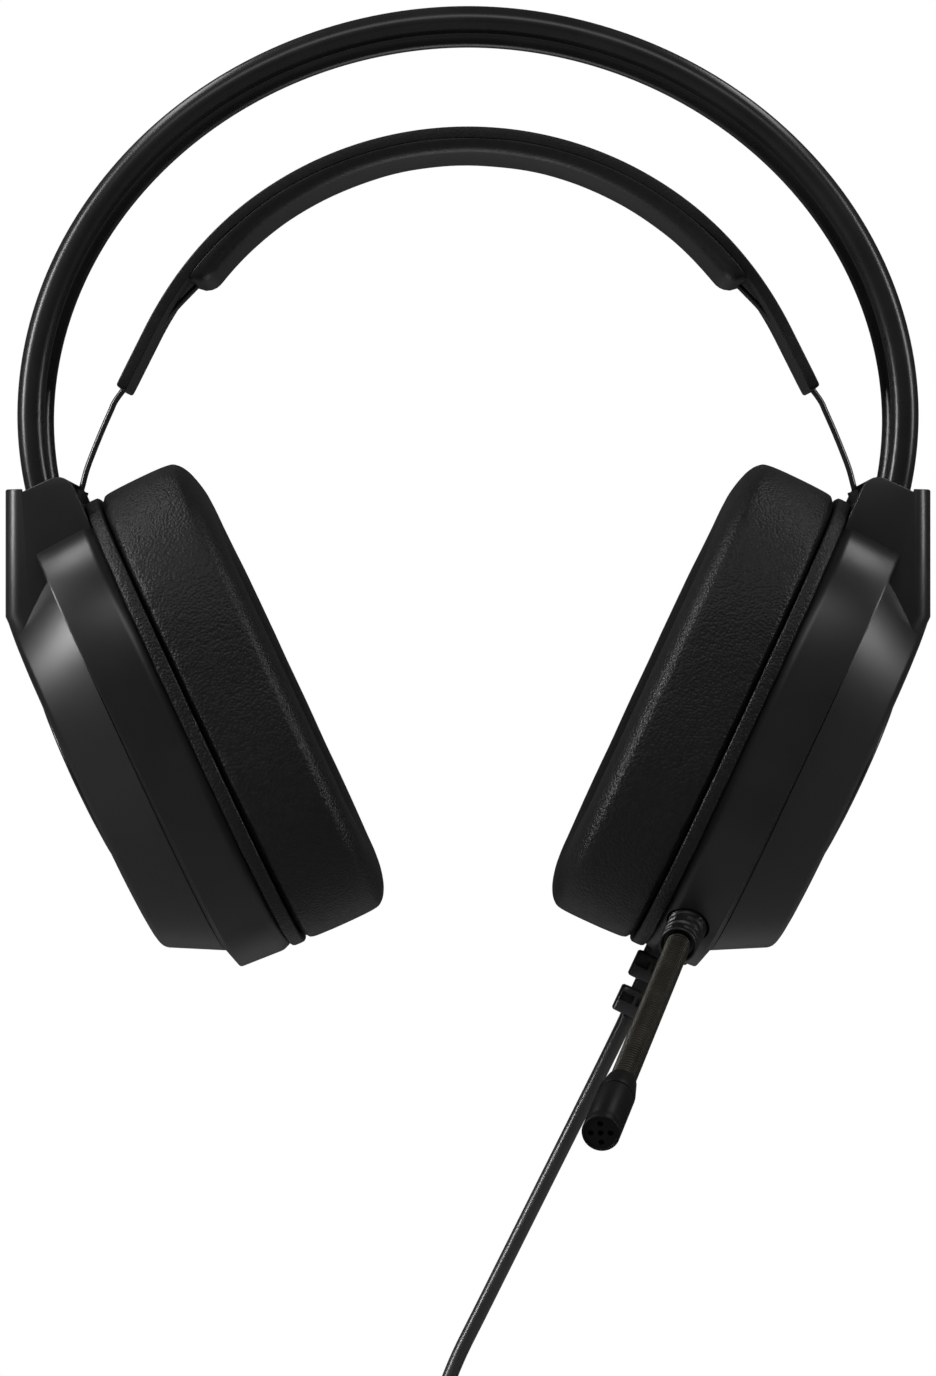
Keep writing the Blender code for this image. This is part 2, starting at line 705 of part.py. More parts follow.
def build_cup_frame(name, parent, side, plastic):
    slope_w = RING_OUTER_W - RING_SLOPE_W
    loops = [
        oval(RING_RIM_W, RING_CHAMFER),
        oval(RING_RIM_W + RING_CHAMFER, 0.0),
        oval(slope_w - RING_EDGE, RING_DRAFT),
        oval(slope_w, RING_DRAFT + RING_EDGE),
        oval(RING_OUTER_W, RING_DRAFT + RING_SLOPE_INSET),
        oval(RING_OUTER_W, OPENING_INSET),
        oval(SHOULDER_W, OPENING_INSET),
        oval(SHOULDER_W, CAVITY_INSET),
        oval(RING_RIM_W, CAVITY_INSET),
    ]
    frame = add("cup_frame_" + name, loft(loops, ring=True), plastic, parent, side)
    combine(frame, build_bracket(parent, side, plastic), "UNION")
    pillar_top = SHOULDER_W + SHOULDER_THICKNESS / 2
    for y, z in pillar_places():
        pillar = loft([disc(RING_RIM_W, PILLAR_RADIUS, y, z, 8), disc(pillar_top, PILLAR_RADIUS, y, z, 8)])
        combine(frame, add("pillar_tool", pillar, plastic, parent, side), "UNION")
        hole_end = BAFFLE_FRONT_W + SCREW_HEAD_HEIGHT + SCREW_LENGTH + FIT
        radius = SCREW_RADIUS + FIT
        hole = loft([disc(0.0, radius, y, z, 8), disc(hole_end, radius, y, z, 8)])
        combine(frame, add("pillar_hole_tool", hole, plastic, parent, side), "DIFFERENCE")
    top = Vector((BRACKET_TUBE_W, 0, BRACKET_TOP_Z))
    for sign in (-1, 1):
        start = top + Vector((0, sign * TUBE_SPACING / 2, 0)) - FOOT_IN_CUP * SOCKET_DEPTH / 2
        socket = rod(start, FOOT_IN_CUP, 1.5 * SOCKET_DEPTH, TUBE_RADIUS + FIT, 12)
        combine(frame, add("socket_tool", socket, plastic, parent, side), "DIFFERENCE")
    seat = rod(WIRE_ENTRY - WIRE_IN_CUP * BUSH_RADIUS * 2, WIRE_IN_CUP,
               BUSH_RADIUS * 2 + BUSH_LENGTH + FIT, BUSH_RADIUS + FIT, 10)
    combine(frame, add("bush_seat_tool", seat, plastic, parent, side), "DIFFERENCE")
    way = rod(WIRE_ENTRY, WIRE_IN_CUP, BUSH_LENGTH * 3, 2 * WIRE_RADIUS, 8)
    combine(frame, add("wire_way_tool", way, plastic, parent, side), "DIFFERENCE")
    return frame


def cut_left_cup(frame, parent, plastic):
    # the microphone's hole, the strain relief's window, the wheel's slot and the board's shelves
    start = MIC_SEAT - BOOM_IN_CUP * 2 * BOOT_ROOT
    hole = rod(start, BOOM_IN_CUP, 4 * BOOT_ROOT, BOOT_SHANK_RADIUS + FIT, 12)
    combine(frame, add("boot_hole_tool", hole, plastic, parent), "DIFFERENCE")
    half_w = RELIEF_HALF_W + FIT
    half_y = RELIEF_HALF_Y + FIT
    window = block(
        (RELIEF_W - half_w, -half_y, -RING_HALF_Z - RING_WALL),
        (RELIEF_W + half_w, half_y, -RING_HALF_Z + 2 * RING_WALL),
    )
    combine(frame, add("relief_window_tool", window, plastic, parent), "DIFFERENCE")
    loops = []
    for w in (WHEEL_W - FIT, WHEEL_W + WHEEL_THICKNESS + FIT):
        loops.append(disc(w, WHEEL_RADIUS + 2 * FIT, WHEEL_CENTRE.y, WHEEL_CENTRE.z, FINE_POINTS))
    combine(frame, add("wheel_slot_tool", loft(loops), plastic, parent), "DIFFERENCE")
    shelf_w = BOARD_W + BOARD_THICKNESS + FIT
    for low_y, high_y in SHELVES_Y:
        deep = -oval_z(max(abs(low_y), abs(high_y)), CAVITY_INSET - RING_WALL / 2)
        shelf = block((shelf_w, low_y, deep), (shelf_w + SHELF_THICKNESS, high_y, SHELF_Z))
        combine(frame, add("shelf_tool", shelf, plastic, parent), "UNION")


def build_cover(name, parent, side, plastic, gloss):
    top_w = CAP_SEAT_W - COVER_WALL
    spigot = OPENING_INSET + FIT
    seat = CAP_RADIUS + FIT
    crown_w = COVER_EDGE_W + COVER_CROWN
    count = OUTLINE_POINTS
    edge_w = COVER_EDGE_W - COVER_EDGE_ROUND
    loops = [
        oval(top_w, COVER_STEP + COVER_TAPER + 2 * COVER_WALL),
        oval(edge_w, COVER_STEP + COVER_TAPER + COVER_WALL),
        oval(COVER_BASE_W + SPIGOT_DEPTH, spigot + SPIGOT_WALL),
        oval(COVER_BASE_W - SPIGOT_DEPTH, spigot + SPIGOT_WALL),
        oval(COVER_BASE_W - SPIGOT_DEPTH, spigot),
        oval(COVER_BASE_W, spigot),
    ]
    loops += [oval(w, inset) for w, inset in cover_outer(0.0)]
    loops += [
        disc(crown_w, seat + FIT, points=count),
        disc(crown_w, seat, points=count),
        disc(CAP_SEAT_W, seat, points=count),
    ]
    cover = add("outer_cover_" + name, loft(loops), plastic, parent, side)
    post_w = BEAD_W - ELASTIC_THICKNESS
    post = loft([
        disc(post_w, POST_RADIUS, 0.0, POST_Z, 10),
        disc(top_w + COVER_WALL / 2, POST_RADIUS, 0.0, POST_Z, 10),
    ])
    combine(cover, add("post_tool", post, plastic, parent, side), "UNION")
    low = CAP_SEAT_W + FIT
    cap = loft([
        disc(low, CAP_RADIUS, points=FINE_POINTS),
        disc(crown_w + CAP_RISE * 0.2, CAP_RADIUS, points=FINE_POINTS),
        disc(crown_w + CAP_RISE * 0.75, CAP_RADIUS * 0.72, points=FINE_POINTS),
        disc(crown_w + CAP_RISE, CAP_RADIUS * 0.3, points=FINE_POINTS),
    ])
    add("cover_cap_" + name, cap, gloss, parent, side)


def build_baffle(name, parent, side, plastic, steel, cloth):
    plate = loft([oval(BAFFLE_FRONT_W, BAFFLE_INSET), oval(BAFFLE_BACK_W, BAFFLE_INSET)])
    baffle = add("baffle_plate_" + name, plate, plastic, parent, side)
    inner = DRIVER_RADIUS + FIT
    outer = inner + COLLAR_WALL
    low = (BAFFLE_FRONT_W + BAFFLE_BACK_W) / 2
    high = BAFFLE_BACK_W + COLLAR_DEPTH
    collar = loft([disc(low, outer), disc(high, outer), disc(high, inner), disc(low, inner)], ring=True)
    combine(baffle, add("collar_tool", collar, plastic, parent, side), "UNION")
    places = [(0.0, 0.0)]
    for k in range(6):
        angle = math.tau * k / 6
        places.append((SOUND_HOLE_PITCH * math.cos(angle), SOUND_HOLE_PITCH * math.sin(angle)))
    reach = RING_RIM_W
    for y, z in places:
        hole = loft([disc(-reach, SOUND_HOLE_RADIUS, y, z, 6), disc(2 * reach, SOUND_HOLE_RADIUS, y, z, 6)])
        combine(baffle, add("sound_hole_tool", hole, plastic, parent, side), "DIFFERENCE")
    head_w = BAFFLE_FRONT_W + SCREW_HEAD_HEIGHT
    for k, (y, z) in enumerate(pillar_places()):
        seat = loft([
            disc(-reach, SCREW_HEAD_RADIUS + FIT, y, z, 8),
            disc(head_w + FIT, SCREW_HEAD_RADIUS + FIT, y, z, 8),
            disc(head_w + FIT, SCREW_RADIUS + FIT, y, z, 8),
            disc(2 * reach, SCREW_RADIUS + FIT, y, z, 8),
        ])
        combine(baffle, add("screw_seat_tool", seat, plastic, parent, side), "DIFFERENCE")
        screw = loft([
            disc(BAFFLE_FRONT_W, SCREW_HEAD_RADIUS, y, z, 6),
            disc(head_w, SCREW_HEAD_RADIUS, y, z, 6),
            disc(head_w, SCREW_RADIUS, y, z, 6),
            disc(head_w + SCREW_LENGTH, SCREW_RADIUS, y, z, 6),
        ])
        add(f"baffle_screw_{name}_{k + 1}", screw, steel, parent, side)
    screen_w = BAFFLE_FRONT_W - FIT
    screen = loft([oval(screen_w - SCREEN_THICKNESS, SCREEN_INSET), oval(screen_w, SCREEN_INSET)])
    add("dust_screen_" + name, screen, cloth, parent, side)


def build_driver(name, parent, side, steel, dark, film):
    front = BAFFLE_BACK_W + FIT
    back = front + DRIVER_DEPTH
    rim = DRIVER_WALL * 2
    inside = DRIVER_RADIUS - rim
    basket = loft([
        disc(front, DRIVER_RADIUS),
        disc(front + rim, DRIVER_RADIUS),
        disc(back, DRIVER_BACK_RADIUS),
        disc(back, DRIVER_VENT_RADIUS),
        disc(back - DRIVER_WALL, DRIVER_VENT_RADIUS),
        disc(back - DRIVER_WALL, DRIVER_BACK_RADIUS - DRIVER_WALL),
        disc(front + rim, inside),
        disc(front, inside),
    ], ring=True)
    add("driver_basket_" + name, basket, steel, parent, side)
    magnet_w = back + FIT
    magnet = loft([disc(magnet_w, MAGNET_RADIUS), disc(magnet_w + MAGNET_THICKNESS, MAGNET_RADIUS)])
    add("driver_magnet_" + name, magnet, dark, parent, side)
    edge = inside - FIT
    film_gap = FIT * 1.5
    faces = ((0.25, 0.0), (0.55, FILM_DOME), (1.0, 0.0))
    loops = [disc(front + rise, share * edge) for share, rise in faces]
    loops += [disc(front + rise + film_gap, share * edge) for share, rise in reversed(faces)]
    add("driver_diaphragm_" + name, loft(loops), film, parent, side)


def lifted_oval(w, inset):
    return [point + Vector((0, 0, CUSHION_LIFT)) for point in oval(w, inset)]


def build_cushion(name, parent, side, leather):
    # a crowned ring whose outer and inner sides draw in towards its back
    profile = (
        (0.0, 0.085), (0.1, 0.015), (0.42, 0.0), (0.78, 0.005), (0.915, 0.1),
        (1.0, 0.4), (0.945, 0.76), (0.75, 0.93), (0.35, 1.0), (0.0, 0.97),
    )
    loops = []
    for depth, across in profile:
        w = CUSHION_BACK_W - CUSHION_DEPTH * depth
        loops.append(lifted_oval(w, CUSHION_WIDTH * across - CUSHION_OVERHANG))
    add("ear_cushion_" + name, loft(loops, ring=True), leather, parent, side)
    inner = BAFFLE_INSET - FIT
    skirt = loft([
        lifted_oval(SKIRT_FRONT_W, -SKIRT_OVERHANG),
        lifted_oval(BAFFLE_BACK_W, -SKIRT_OVERHANG),
        oval(BAFFLE_BACK_W, inner),
        oval(SKIRT_FRONT_W, inner),
    ], ring=True)
    add("cushion_skirt_" + name, skirt, leather, parent, side)


def build_suspension(name, side, parent, wire_finish, rubber, plastic):
    bush = loft([
        circle(-BUSH_PROUD, BUSH_RADIUS, 10),
        circle(BUSH_LENGTH, BUSH_RADIUS, 10),
        circle(BUSH_LENGTH, WIRE_RADIUS + FIT, 10),
        circle(-BUSH_PROUD, WIRE_RADIUS + FIT, 10),
    ], ring=True)
    turn = WIRE_IN_CUP.to_track_quat("Z", "Y").to_matrix().to_4x4()
    bush.transform(Matrix.Translation(WIRE_ENTRY) @ turn)
    add("wire_bush_" + name, bush, plastic, parent, side)
    through = (WIRE_ENTRY.z - RING_HALF_Z + CAVITY_INSET) / math.cos(WIRE_ENTRY_ANGLE)
    mouth = WIRE_ENTRY + WIRE_IN_CUP * through
    bead_top = Vector((BEAD_W, 0, BEAD_Z + BEAD_LENGTH))
    inside = [
        Vector((BEAD_W, 0, BEAD_Z)),
        bead_top,
        bead_top + Vector((0, 0, WIRE_RADIUS)),
        mouth.lerp(bead_top, 0.5) - Vector((WIRE_RADIUS, 0, BEAD_RADIUS)),
        mouth + WIRE_IN_CUP * WIRE_RADIUS,
        mouth,
        WIRE_ENTRY,
        WIRE_ENTRY - WIRE_IN_CUP * BUSH_PROUD * 2,
    ]
    points = [cup_point(point, side) for point in inside]
    radii = [BEAD_RADIUS / WIRE_RADIUS] * 2 + [1.0] * 6
    arc = STRAP_RADIUS * STRAP_HALF_ANGLE
    depth = wire_depth()
    strap_end = band_point(side * (arc + STRAP_TAIL), depth)
    before_end = band_point(side * arc, depth)
    leave = (strap_end - before_end).normalized()
    enter = cup_direction(WIRE_IN_CUP, side)
    start = points[-1]
    reach = (strap_end - start).length
    for k in range(1, 7):
        t = k / 7
        point = (
            start * (1 - t) ** 3
            + 3 * (start - enter * reach * 0.4) * t * (1 - t) ** 2
            + 3 * (strap_end + leave * reach * 0.4) * t ** 2 * (1 - t)
            + strap_end * t ** 3
        )
        points.append(point)
    points.append(strap_end)
    pad_gap = STRAP_RADIUS * PAD_HALF_ANGLE + PAD_END_ROUND * 0.4
    middle = (pad_gap + STRAP_RADIUS * SLEEVE_START) / 2
    points += [band_point(side * along, depth) for along in reversed(sleeve_stations()[:-1])]
    points.append(band_point(side * middle, (depth + WIRE_PAD_DEPTH) / 2))
    points.append(band_point(side * pad_gap, WIRE_PAD_DEPTH))
    radii += [1.0] * (len(points) - len(radii))
    add("suspension_wire_" + name, tube(points, WIRE_RADIUS, 1, radii), wire_finish)
    half = ELASTIC_WIDTH / 2
    strip = loft([
        soft_rectangle(BEAD_Z - FIT, ELASTIC_THICKNESS / 2, half, ELASTIC_THICKNESS / 4, BEAD_W),
        soft_rectangle(POST_Z - half, ELASTIC_THICKNESS / 2, half, ELASTIC_THICKNESS / 4, BEAD_W),
    ])
    elastic = add("elastic_band_" + name, strip, rubber, parent, side)
    eye = loft([
        disc(BEAD_W - ELASTIC_THICKNESS, POST_RADIUS + FIT, 0.0, POST_Z, 12),
        disc(BEAD_W + ELASTIC_THICKNESS, POST_RADIUS + FIT, 0.0, POST_Z, 12),
    ])
    combine(elastic, add("eye_tool", eye, rubber, parent, side), "DIFFERENCE")


# Microphone

def neck_mesh(start, end, plain, ribbed):
    # a ribbed tube with a bore; plain is the smooth length before its ribs
    pitch = (end - start - plain - NECK_RADIUS) / ribbed
    outside = [(start, NECK_RADIUS - NECK_RIB)]
    for k in range(ribbed):
        base = start + plain + pitch * k
        outside.append((base + 0.2 * pitch, NECK_RADIUS - NECK_RIB))
        outside.append((base + 0.65 * pitch, NECK_RADIUS))
    outside.append((end, NECK_RADIUS - NECK_RIB))
    loops = [circle(height, radius, NECK_SIDES) for height, radius in outside]
    loops += [circle(end, NECK_BORE, NECK_SIDES), circle(start, NECK_BORE, NECK_SIDES)]
    return loft(loops, ring=True)


def shifted(mesh, height):
    mesh.transform(Matrix.Translation((0, 0, -height)))
    return mesh


def build_microphone(rubber, gunmetal, plastic, steel):
    base = empty("mic_base_axis", BOOM_START, BOOM_TURN)
    pitch_at = (BOOT_LENGTH + NECK_SPLIT) / 2
    yaw_at = (NECK_SPLIT + NECK_END) / 2
    arm = empty("mic_pitch_axis", BOOM_START + BOOM_ALONG * pitch_at, BOOM_TURN)
    head = empty("mic_yaw_axis", BOOM_START + BOOM_ALONG * yaw_at, BOOM_TURN)
    bore = NECK_RADIUS + FIT
    catch = BOOT_CATCH - BOOT_ROOT
    outside = [(-BOOT_ROOT, BOOT_CATCH_RADIUS), (catch, BOOT_CATCH_RADIUS)]
    outside += [(catch, BOOT_SHANK_RADIUS), (BOOT_FLANGE, BOOT_SHANK_RADIUS)]
    ridge = (BOOT_LENGTH - BOOT_FLANGE) / BOOT_RIDGE_COUNT
    for k in range(BOOT_RIDGE_COUNT):
        low = BOOT_FLANGE + ridge * k
        taper = BOOT_RADIUS - BOOT_RIDGE_TAPER * k
        outside += [(low + 0.05 * ridge, taper), (low + 0.6 * ridge, taper)]
        outside += [(low + 0.65 * ridge, BOOT_SHANK_RADIUS), (low + ridge, BOOT_SHANK_RADIUS)]
    outside[-1] = (BOOT_LENGTH, BOOT_RADIUS - BOOT_MOUTH_ROUND)
    loops = [circle(height, radius, 10) for height, radius in outside]
    loops += [circle(BOOT_LENGTH, bore, 10), circle(-BOOT_ROOT, bore, 10)]
    add("mic_boot", loft(loops, ring=True), rubber, base)
    first = neck_mesh(-NECK_ROOT, NECK_SPLIT, NECK_ROOT + BOOT_LENGTH - NECK_RADIUS, NECK_RIBS)
    add("gooseneck_base", shifted(first, pitch_at), gunmetal, arm)
    tip_end = NECK_END + COLLAR_GRIP / 3
    second = neck_mesh(NECK_SPLIT + FIT, tip_end, NECK_RADIUS, NECK_RIBS)
    add("gooseneck_tip", shifted(second, pitch_at), gunmetal, arm)
    collar_start = NECK_END - COLLAR_GRIP * 2 / 3
    collar_end = collar_start + COLLAR_LENGTH
    collar = loft([
        circle(collar_start, NECK_RADIUS + COLLAR_LIP, MIC_SIDES),
        circle(collar_end - COLLAR_BAND, CAPSULE_RADIUS, MIC_SIDES),
        circle(collar_end, CAPSULE_RADIUS, MIC_SIDES),
        circle(collar_end, NECK_BORE, MIC_SIDES),
        circle(tip_end + FIT, NECK_BORE, MIC_SIDES),
        circle(tip_end + FIT, bore, MIC_SIDES),
        circle(collar_start, bore, MIC_SIDES),
    ], ring=True)
    add("mic_collar", shifted(collar, yaw_at), plastic, head)
    low = collar_end + FIT
    high = CAPSULE_END - END_CAP_DEPTH - FIT
    inner = CAPSULE_RADIUS - CAPSULE_WALL
    housing = loft([
        circle(low, CAPSULE_RADIUS, MIC_SIDES),
        circle(high, CAPSULE_RADIUS, MIC_SIDES),
        circle(high, inner, MIC_SIDES),
        circle(low + CAPSULE_WALL, inner, MIC_SIDES),
        circle(low + CAPSULE_WALL, NECK_BORE, MIC_SIDES),
        circle(low, NECK_BORE, MIC_SIDES),
    ], ring=True)
    add("mic_housing", shifted(housing, yaw_at), plastic, head)
    end_cap = add("mic_end_cap", shifted(loft([
        circle(CAPSULE_END - END_CAP_DEPTH, CAPSULE_RADIUS, MIC_SIDES),
        circle(CAPSULE_END - END_CAP_ROUND, CAPSULE_RADIUS, MIC_SIDES),
        circle(CAPSULE_END, CAPSULE_RADIUS - END_CAP_ROUND, MIC_SIDES),
    ]), yaw_at), plastic, head)
    upright = Vector((BOOM_TURN.col[0].z, BOOM_TURN.col[1].z)).normalized()
    places = [(0, 0)]
    for x, y in (upright, upright.orthogonal()):
        places += [(x, y), (-x, -y)]
    for x, y in places:
        hole = loft([circle(h, MIC_HOLE_RADIUS, 8) for h in (-END_CAP_DEPTH, 2 * END_CAP_DEPTH)])
        where = (x * MIC_HOLE_PITCH, y * MIC_HOLE_PITCH, CAPSULE_END - END_CAP_DEPTH - yaw_at)
        hole.transform(Matrix.Translation(where))
        combine(end_cap, add("mic_hole_tool", hole, plastic, head), "DIFFERENCE")
    electret = loft([circle(h, inner - FIT, MIC_SIDES) for h in (high - ELECTRET_LENGTH, high - FIT)])
    add("mic_capsule", shifted(electret, yaw_at), steel, head)
    for name, marker, axis in (("mic_pitch", arm, (-1, 0, 0)), ("mic_yaw", head, (0, 1, 0))):
        print(name, [round(x, 6) for x in marker.location], [round(x, 6) for x in BOOM_TURN @ Vector(axis)])


# Volume wheel, potentiometer and board

def build_volume(parent, plastic, dark, board_finish):
    axis = empty("volume_axis", WHEEL_CENTRE, None, parent)
    count = 2 * WHEEL_RIDGE_COUNT
    rows = []
    for w in (0.0, WHEEL_THICKNESS):
        loop = []
        for k in range(count):
            angle = math.tau * k / count
            radius = WHEEL_RADIUS - (WHEEL_RIDGE if k % 2 else 0.0)
            loop.append(Vector((w, radius * math.cos(angle), radius * math.sin(angle))))
        rows.append(loop)
    bore = SHAFT_RADIUS + FIT
    rows += [disc(WHEEL_THICKNESS, bore, points=count), disc(0.0, bore, points=count)]
    add("volume_wheel", loft(rows, ring=True), plastic, axis)
    y = WHEEL_CENTRE.y
    z = WHEEL_CENTRE.z
    low = BOARD_W + BOARD_THICKNESS + FIT
    pot = loft([
        disc(low, POT_RADIUS, y, z),
        disc(WHEEL_W - FIT, POT_RADIUS, y, z),
        disc(WHEEL_W - FIT, SHAFT_RADIUS, y, z),
        disc(WHEEL_W + WHEEL_THICKNESS, SHAFT_RADIUS, y, z),
    ])
    add("volume_pot", pot, dark, parent)
    board = block(
        (BOARD_W, BOARD_Y[0], BOARD_LOW_Z),
        (BOARD_W + BOARD_THICKNESS, BOARD_Y[1], BOARD_LOW_Z + BOARD_HEIGHT),
    )
    add("sound_board", board, board_finish, parent)
    where = cup_point(WHEEL_CENTRE)
    turning = cup_direction(Vector((1, 0, 0)))
    print("volume_turn", [round(x, 6) for x in where], [round(x, 6) for x in turning])


# Cable

def build_relief(parent, rubber):
    deep = RELIEF_CORNER
    top = -oval_z(RELIEF_ROOT_HALF_Y, CAVITY_INSET) + FIT + RELIEF_ROOT
    sections = [
        (top, RELIEF_HALF_W, RELIEF_ROOT_HALF_Y),
        (top - RELIEF_ROOT, RELIEF_HALF_W, RELIEF_ROOT_HALF_Y),
        (top - RELIEF_ROOT, RELIEF_HALF_W, RELIEF_HALF_Y),
    ]
    neck = -RING_HALF_Z - RELIEF_START + FIT / 3
    sections.append((neck, RELIEF_HALF_W, RELIEF_HALF_Y))
    edge = FIT / 2
    slot = (RELIEF_BLOCK_LENGTH - RELIEF_SLOT) / 2
    steps = (
        (0.0, 0.0), (slot - edge, 0.0), (slot, 0.5), (slot + RELIEF_SLOT, 0.5),
        (slot + RELIEF_SLOT + edge, 0.0), (RELIEF_BLOCK_LENGTH, 0.0),
        (RELIEF_BLOCK_LENGTH + edge, 1.0), (RELIEF_PITCH - edge, 1.0),
    )
    for k in range(RELIEF_BLOCKS):
        high = -RING_HALF_Z - RELIEF_START - RELIEF_PITCH * k
        for along, depth in steps:
            half = RELIEF_BLOCK_HALF_W - RELIEF_NOTCH * depth
            sections.append((high - along, half, RELIEF_HALF_Y - RELIEF_NOTCH * depth / 3))
    del sections[-2:]
    sections[-1] = (RELIEF_END_Z, RELIEF_BLOCK_HALF_W - deep, RELIEF_HALF_Y - deep)
    loops = []
    for height, half_x, half_y in sections:
        loops.append(soft_rectangle(height, half_x, half_y, deep, RELIEF_W))
    add("strain_relief", loft(loops), rubber, parent)


def coil_points():
    # the cord spirals in and out again through the layers, and climbs in the half turn about each reversal
    total = COIL_LAYERS * COIL_TURNS
    count = round(total * COIL_LOOP_POINTS)
    points = []
    for k in range(count + 1):
        turn = total * k / count
        layer = min(COIL_LAYERS - 1, int(turn / COIL_TURNS))
        within = turn - layer * COIL_TURNS
        inwards = within if layer % 2 == 0 else COIL_TURNS - within
        radius = COIL_OUTER - COIL_PITCH * inwards
        level = layer
        for border in range(1, COIL_LAYERS):
            near = turn - border * COIL_TURNS
            if abs(near) < 0.25:
                share = near * 2 + 0.5
                level = border - 1 + share * share * (3 - 2 * share)
        angle = math.pi + math.tau * turn
        y = (level - (COIL_LAYERS - 1) / 2) * COIL_PITCH
        offset = Vector((radius * math.cos(angle), y, radius * math.sin(angle)))
        points.append(COIL_CENTRE + offset)
    return points


def least_gap(points, diameter):
    # least distance between two passes of a wound cord, less its diameter
    skip = COIL_LOOP_POINTS // 2
    best = 1.0
    for k, point in enumerate(points):
        for other in points[k + skip:]:
            best = min(best, (other - point).length)
    return best - diameter


def build_cable(black, rubber, steel, plastic):
    end = cup_point(Vector((RELIEF_W, 0, RELIEF_END_Z - FIT)))
    leave = cup_direction(Vector((0, 0, -1)))
    coil = coil_points()
    down = Vector((0, 0, -1))
    diameter = 2 * CABLE_RADIUS
    knots = [end, end + leave * diameter]
    knots += [Vector(point) * MM for point in LEAD_ROUTE]
    lead_end = coil[0] - down * (diameter + FIT)
    knots += [lead_end - down * diameter, lead_end]
    lead = [*smooth_route(knots[:-1], LEAD_POINTS), lead_end]
    add("cable_lead", tube(lead, CABLE_RADIUS, 2), black)
    coil_start = coil[0] - down * diameter
    coil_end = coil[-1] + down * diameter
    add("cable_coil", tube([coil_start, *coil, coil_end], CABLE_RADIUS, 1), black)
    tail_start = coil_end + down * FIT
    tail_end = tail_start + down * TAIL_DROP
    add("cable_tail", tube([tail_start, tail_start.lerp(tail_end, 0.5), tail_end], CABLE_RADIUS, 2), black)
    length = sum((b - a).length for a, b in zip(lead, lead[1:]))
    length += sum((b - a).length for a, b in zip(coil, coil[1:])) + 2 * diameter + TAIL_DROP
    print("cable length", round(length, 3))
    print("least gap of the coil in mm", round(least_gap(coil, diameter) / MM, 2))
    build_tie(rubber)
    build_plug(tail_end + down * FIT, rubber, steel, plastic)


def build_tie(rubber):
    # a band round the bundle at the coil's +X side
    inner_x = COIL_OUTER - COIL_PITCH * COIL_TURNS - CABLE_RADIUS - 2 * TIE_SLACK
    outer_x = COIL_OUTER + CABLE_RADIUS + TIE_SLACK
    half_y = COIL_PITCH * (COIL_LAYERS - 1) / 2 + CABLE_RADIUS + TIE_SLACK
    half_x = (outer_x - inner_x) / 2
    middle = COIL_CENTRE + Vector(((outer_x + inner_x) / 2, 0, 0))
    corner = CABLE_RADIUS / 2
    loops = []
    for sign, grow in ((1, TIE_THICKNESS), (-1, TIE_THICKNESS), (-1, 0.0), (1, 0.0)):
        height = middle.z + sign * TIE_WIDTH / 2
        loops.append(soft_rectangle(
            height, half_x + grow, half_y + grow, corner + grow / 2, middle.x, middle.y))
    add("coil_tie", loft(loops, ring=True), rubber)


def build_plug(top, rubber, steel, plastic):
    x = top.x
    y = top.y
    z = top.z
    neck = PLUG_NECK_LENGTH
    neck_r = PLUG_NECK_RADIUS
    half_x = PLUG_THICKNESS / 2
    half_y = PLUG_WIDTH / 2
    corner = half_x * 0.4
    face = z - neck - PLUG_LENGTH
    body = add("plug_body", loft([
        soft_rectangle(z, neck_r * 0.85, neck_r * 0.85, neck_r / 2, x, y),
        soft_rectangle(z - neck, neck_r, neck_r, neck_r / 2, x, y),
        soft_rectangle(z - neck - corner, half_x * 0.9, half_y * 0.9, corner, x, y),
        soft_rectangle(z - neck - 2 * corner, half_x, half_y, corner, x, y),
        soft_rectangle(face, half_x, half_y, corner, x, y),
    ]), rubber)
    shell_x = SHELL_THICKNESS / 2
    shell_y = SHELL_WIDTH / 2
    root = face + SHELL_SEAT - FIT
    low = face - SHELL_REACH
    bend = 2 * SHELL_WALL
    pocket = loft([
        soft_rectangle(height, shell_x + FIT, shell_y + FIT, bend + FIT, x, y)
        for height in (face + SHELL_SEAT, face - SHELL_SEAT)
    ])
    combine(body, add("pocket_tool", pocket, rubber), "DIFFERENCE")
    shell = loft([
        soft_rectangle(root, shell_x, shell_y, bend, x, y),
        soft_rectangle(low, shell_x, shell_y, bend, x, y),
        soft_rectangle(low, shell_x - SHELL_WALL, shell_y - SHELL_WALL, bend, x, y),
        soft_rectangle(root, shell_x - SHELL_WALL, shell_y - SHELL_WALL, bend, x, y),
    ], ring=True)
    add("plug_shell", shell, steel)
    gap = SHELL_WALL + FIT
    half_tongue = TONGUE_THICKNESS / 2
    tongue_x = x + shell_x - gap - half_tongue
    tongue_y = shell_y - gap - bend
    tongue = loft([
        soft_rectangle(height, half_tongue, tongue_y, SHELL_WALL, tongue_x, y)
        for height in (root, low + TONGUE_SHORT)
    ])
    add("plug_tongue", tongue, plastic)
    print("plug rim", [round(v, 6) for v in (x + shell_x - SHELL_WALL / 2, y, low)])


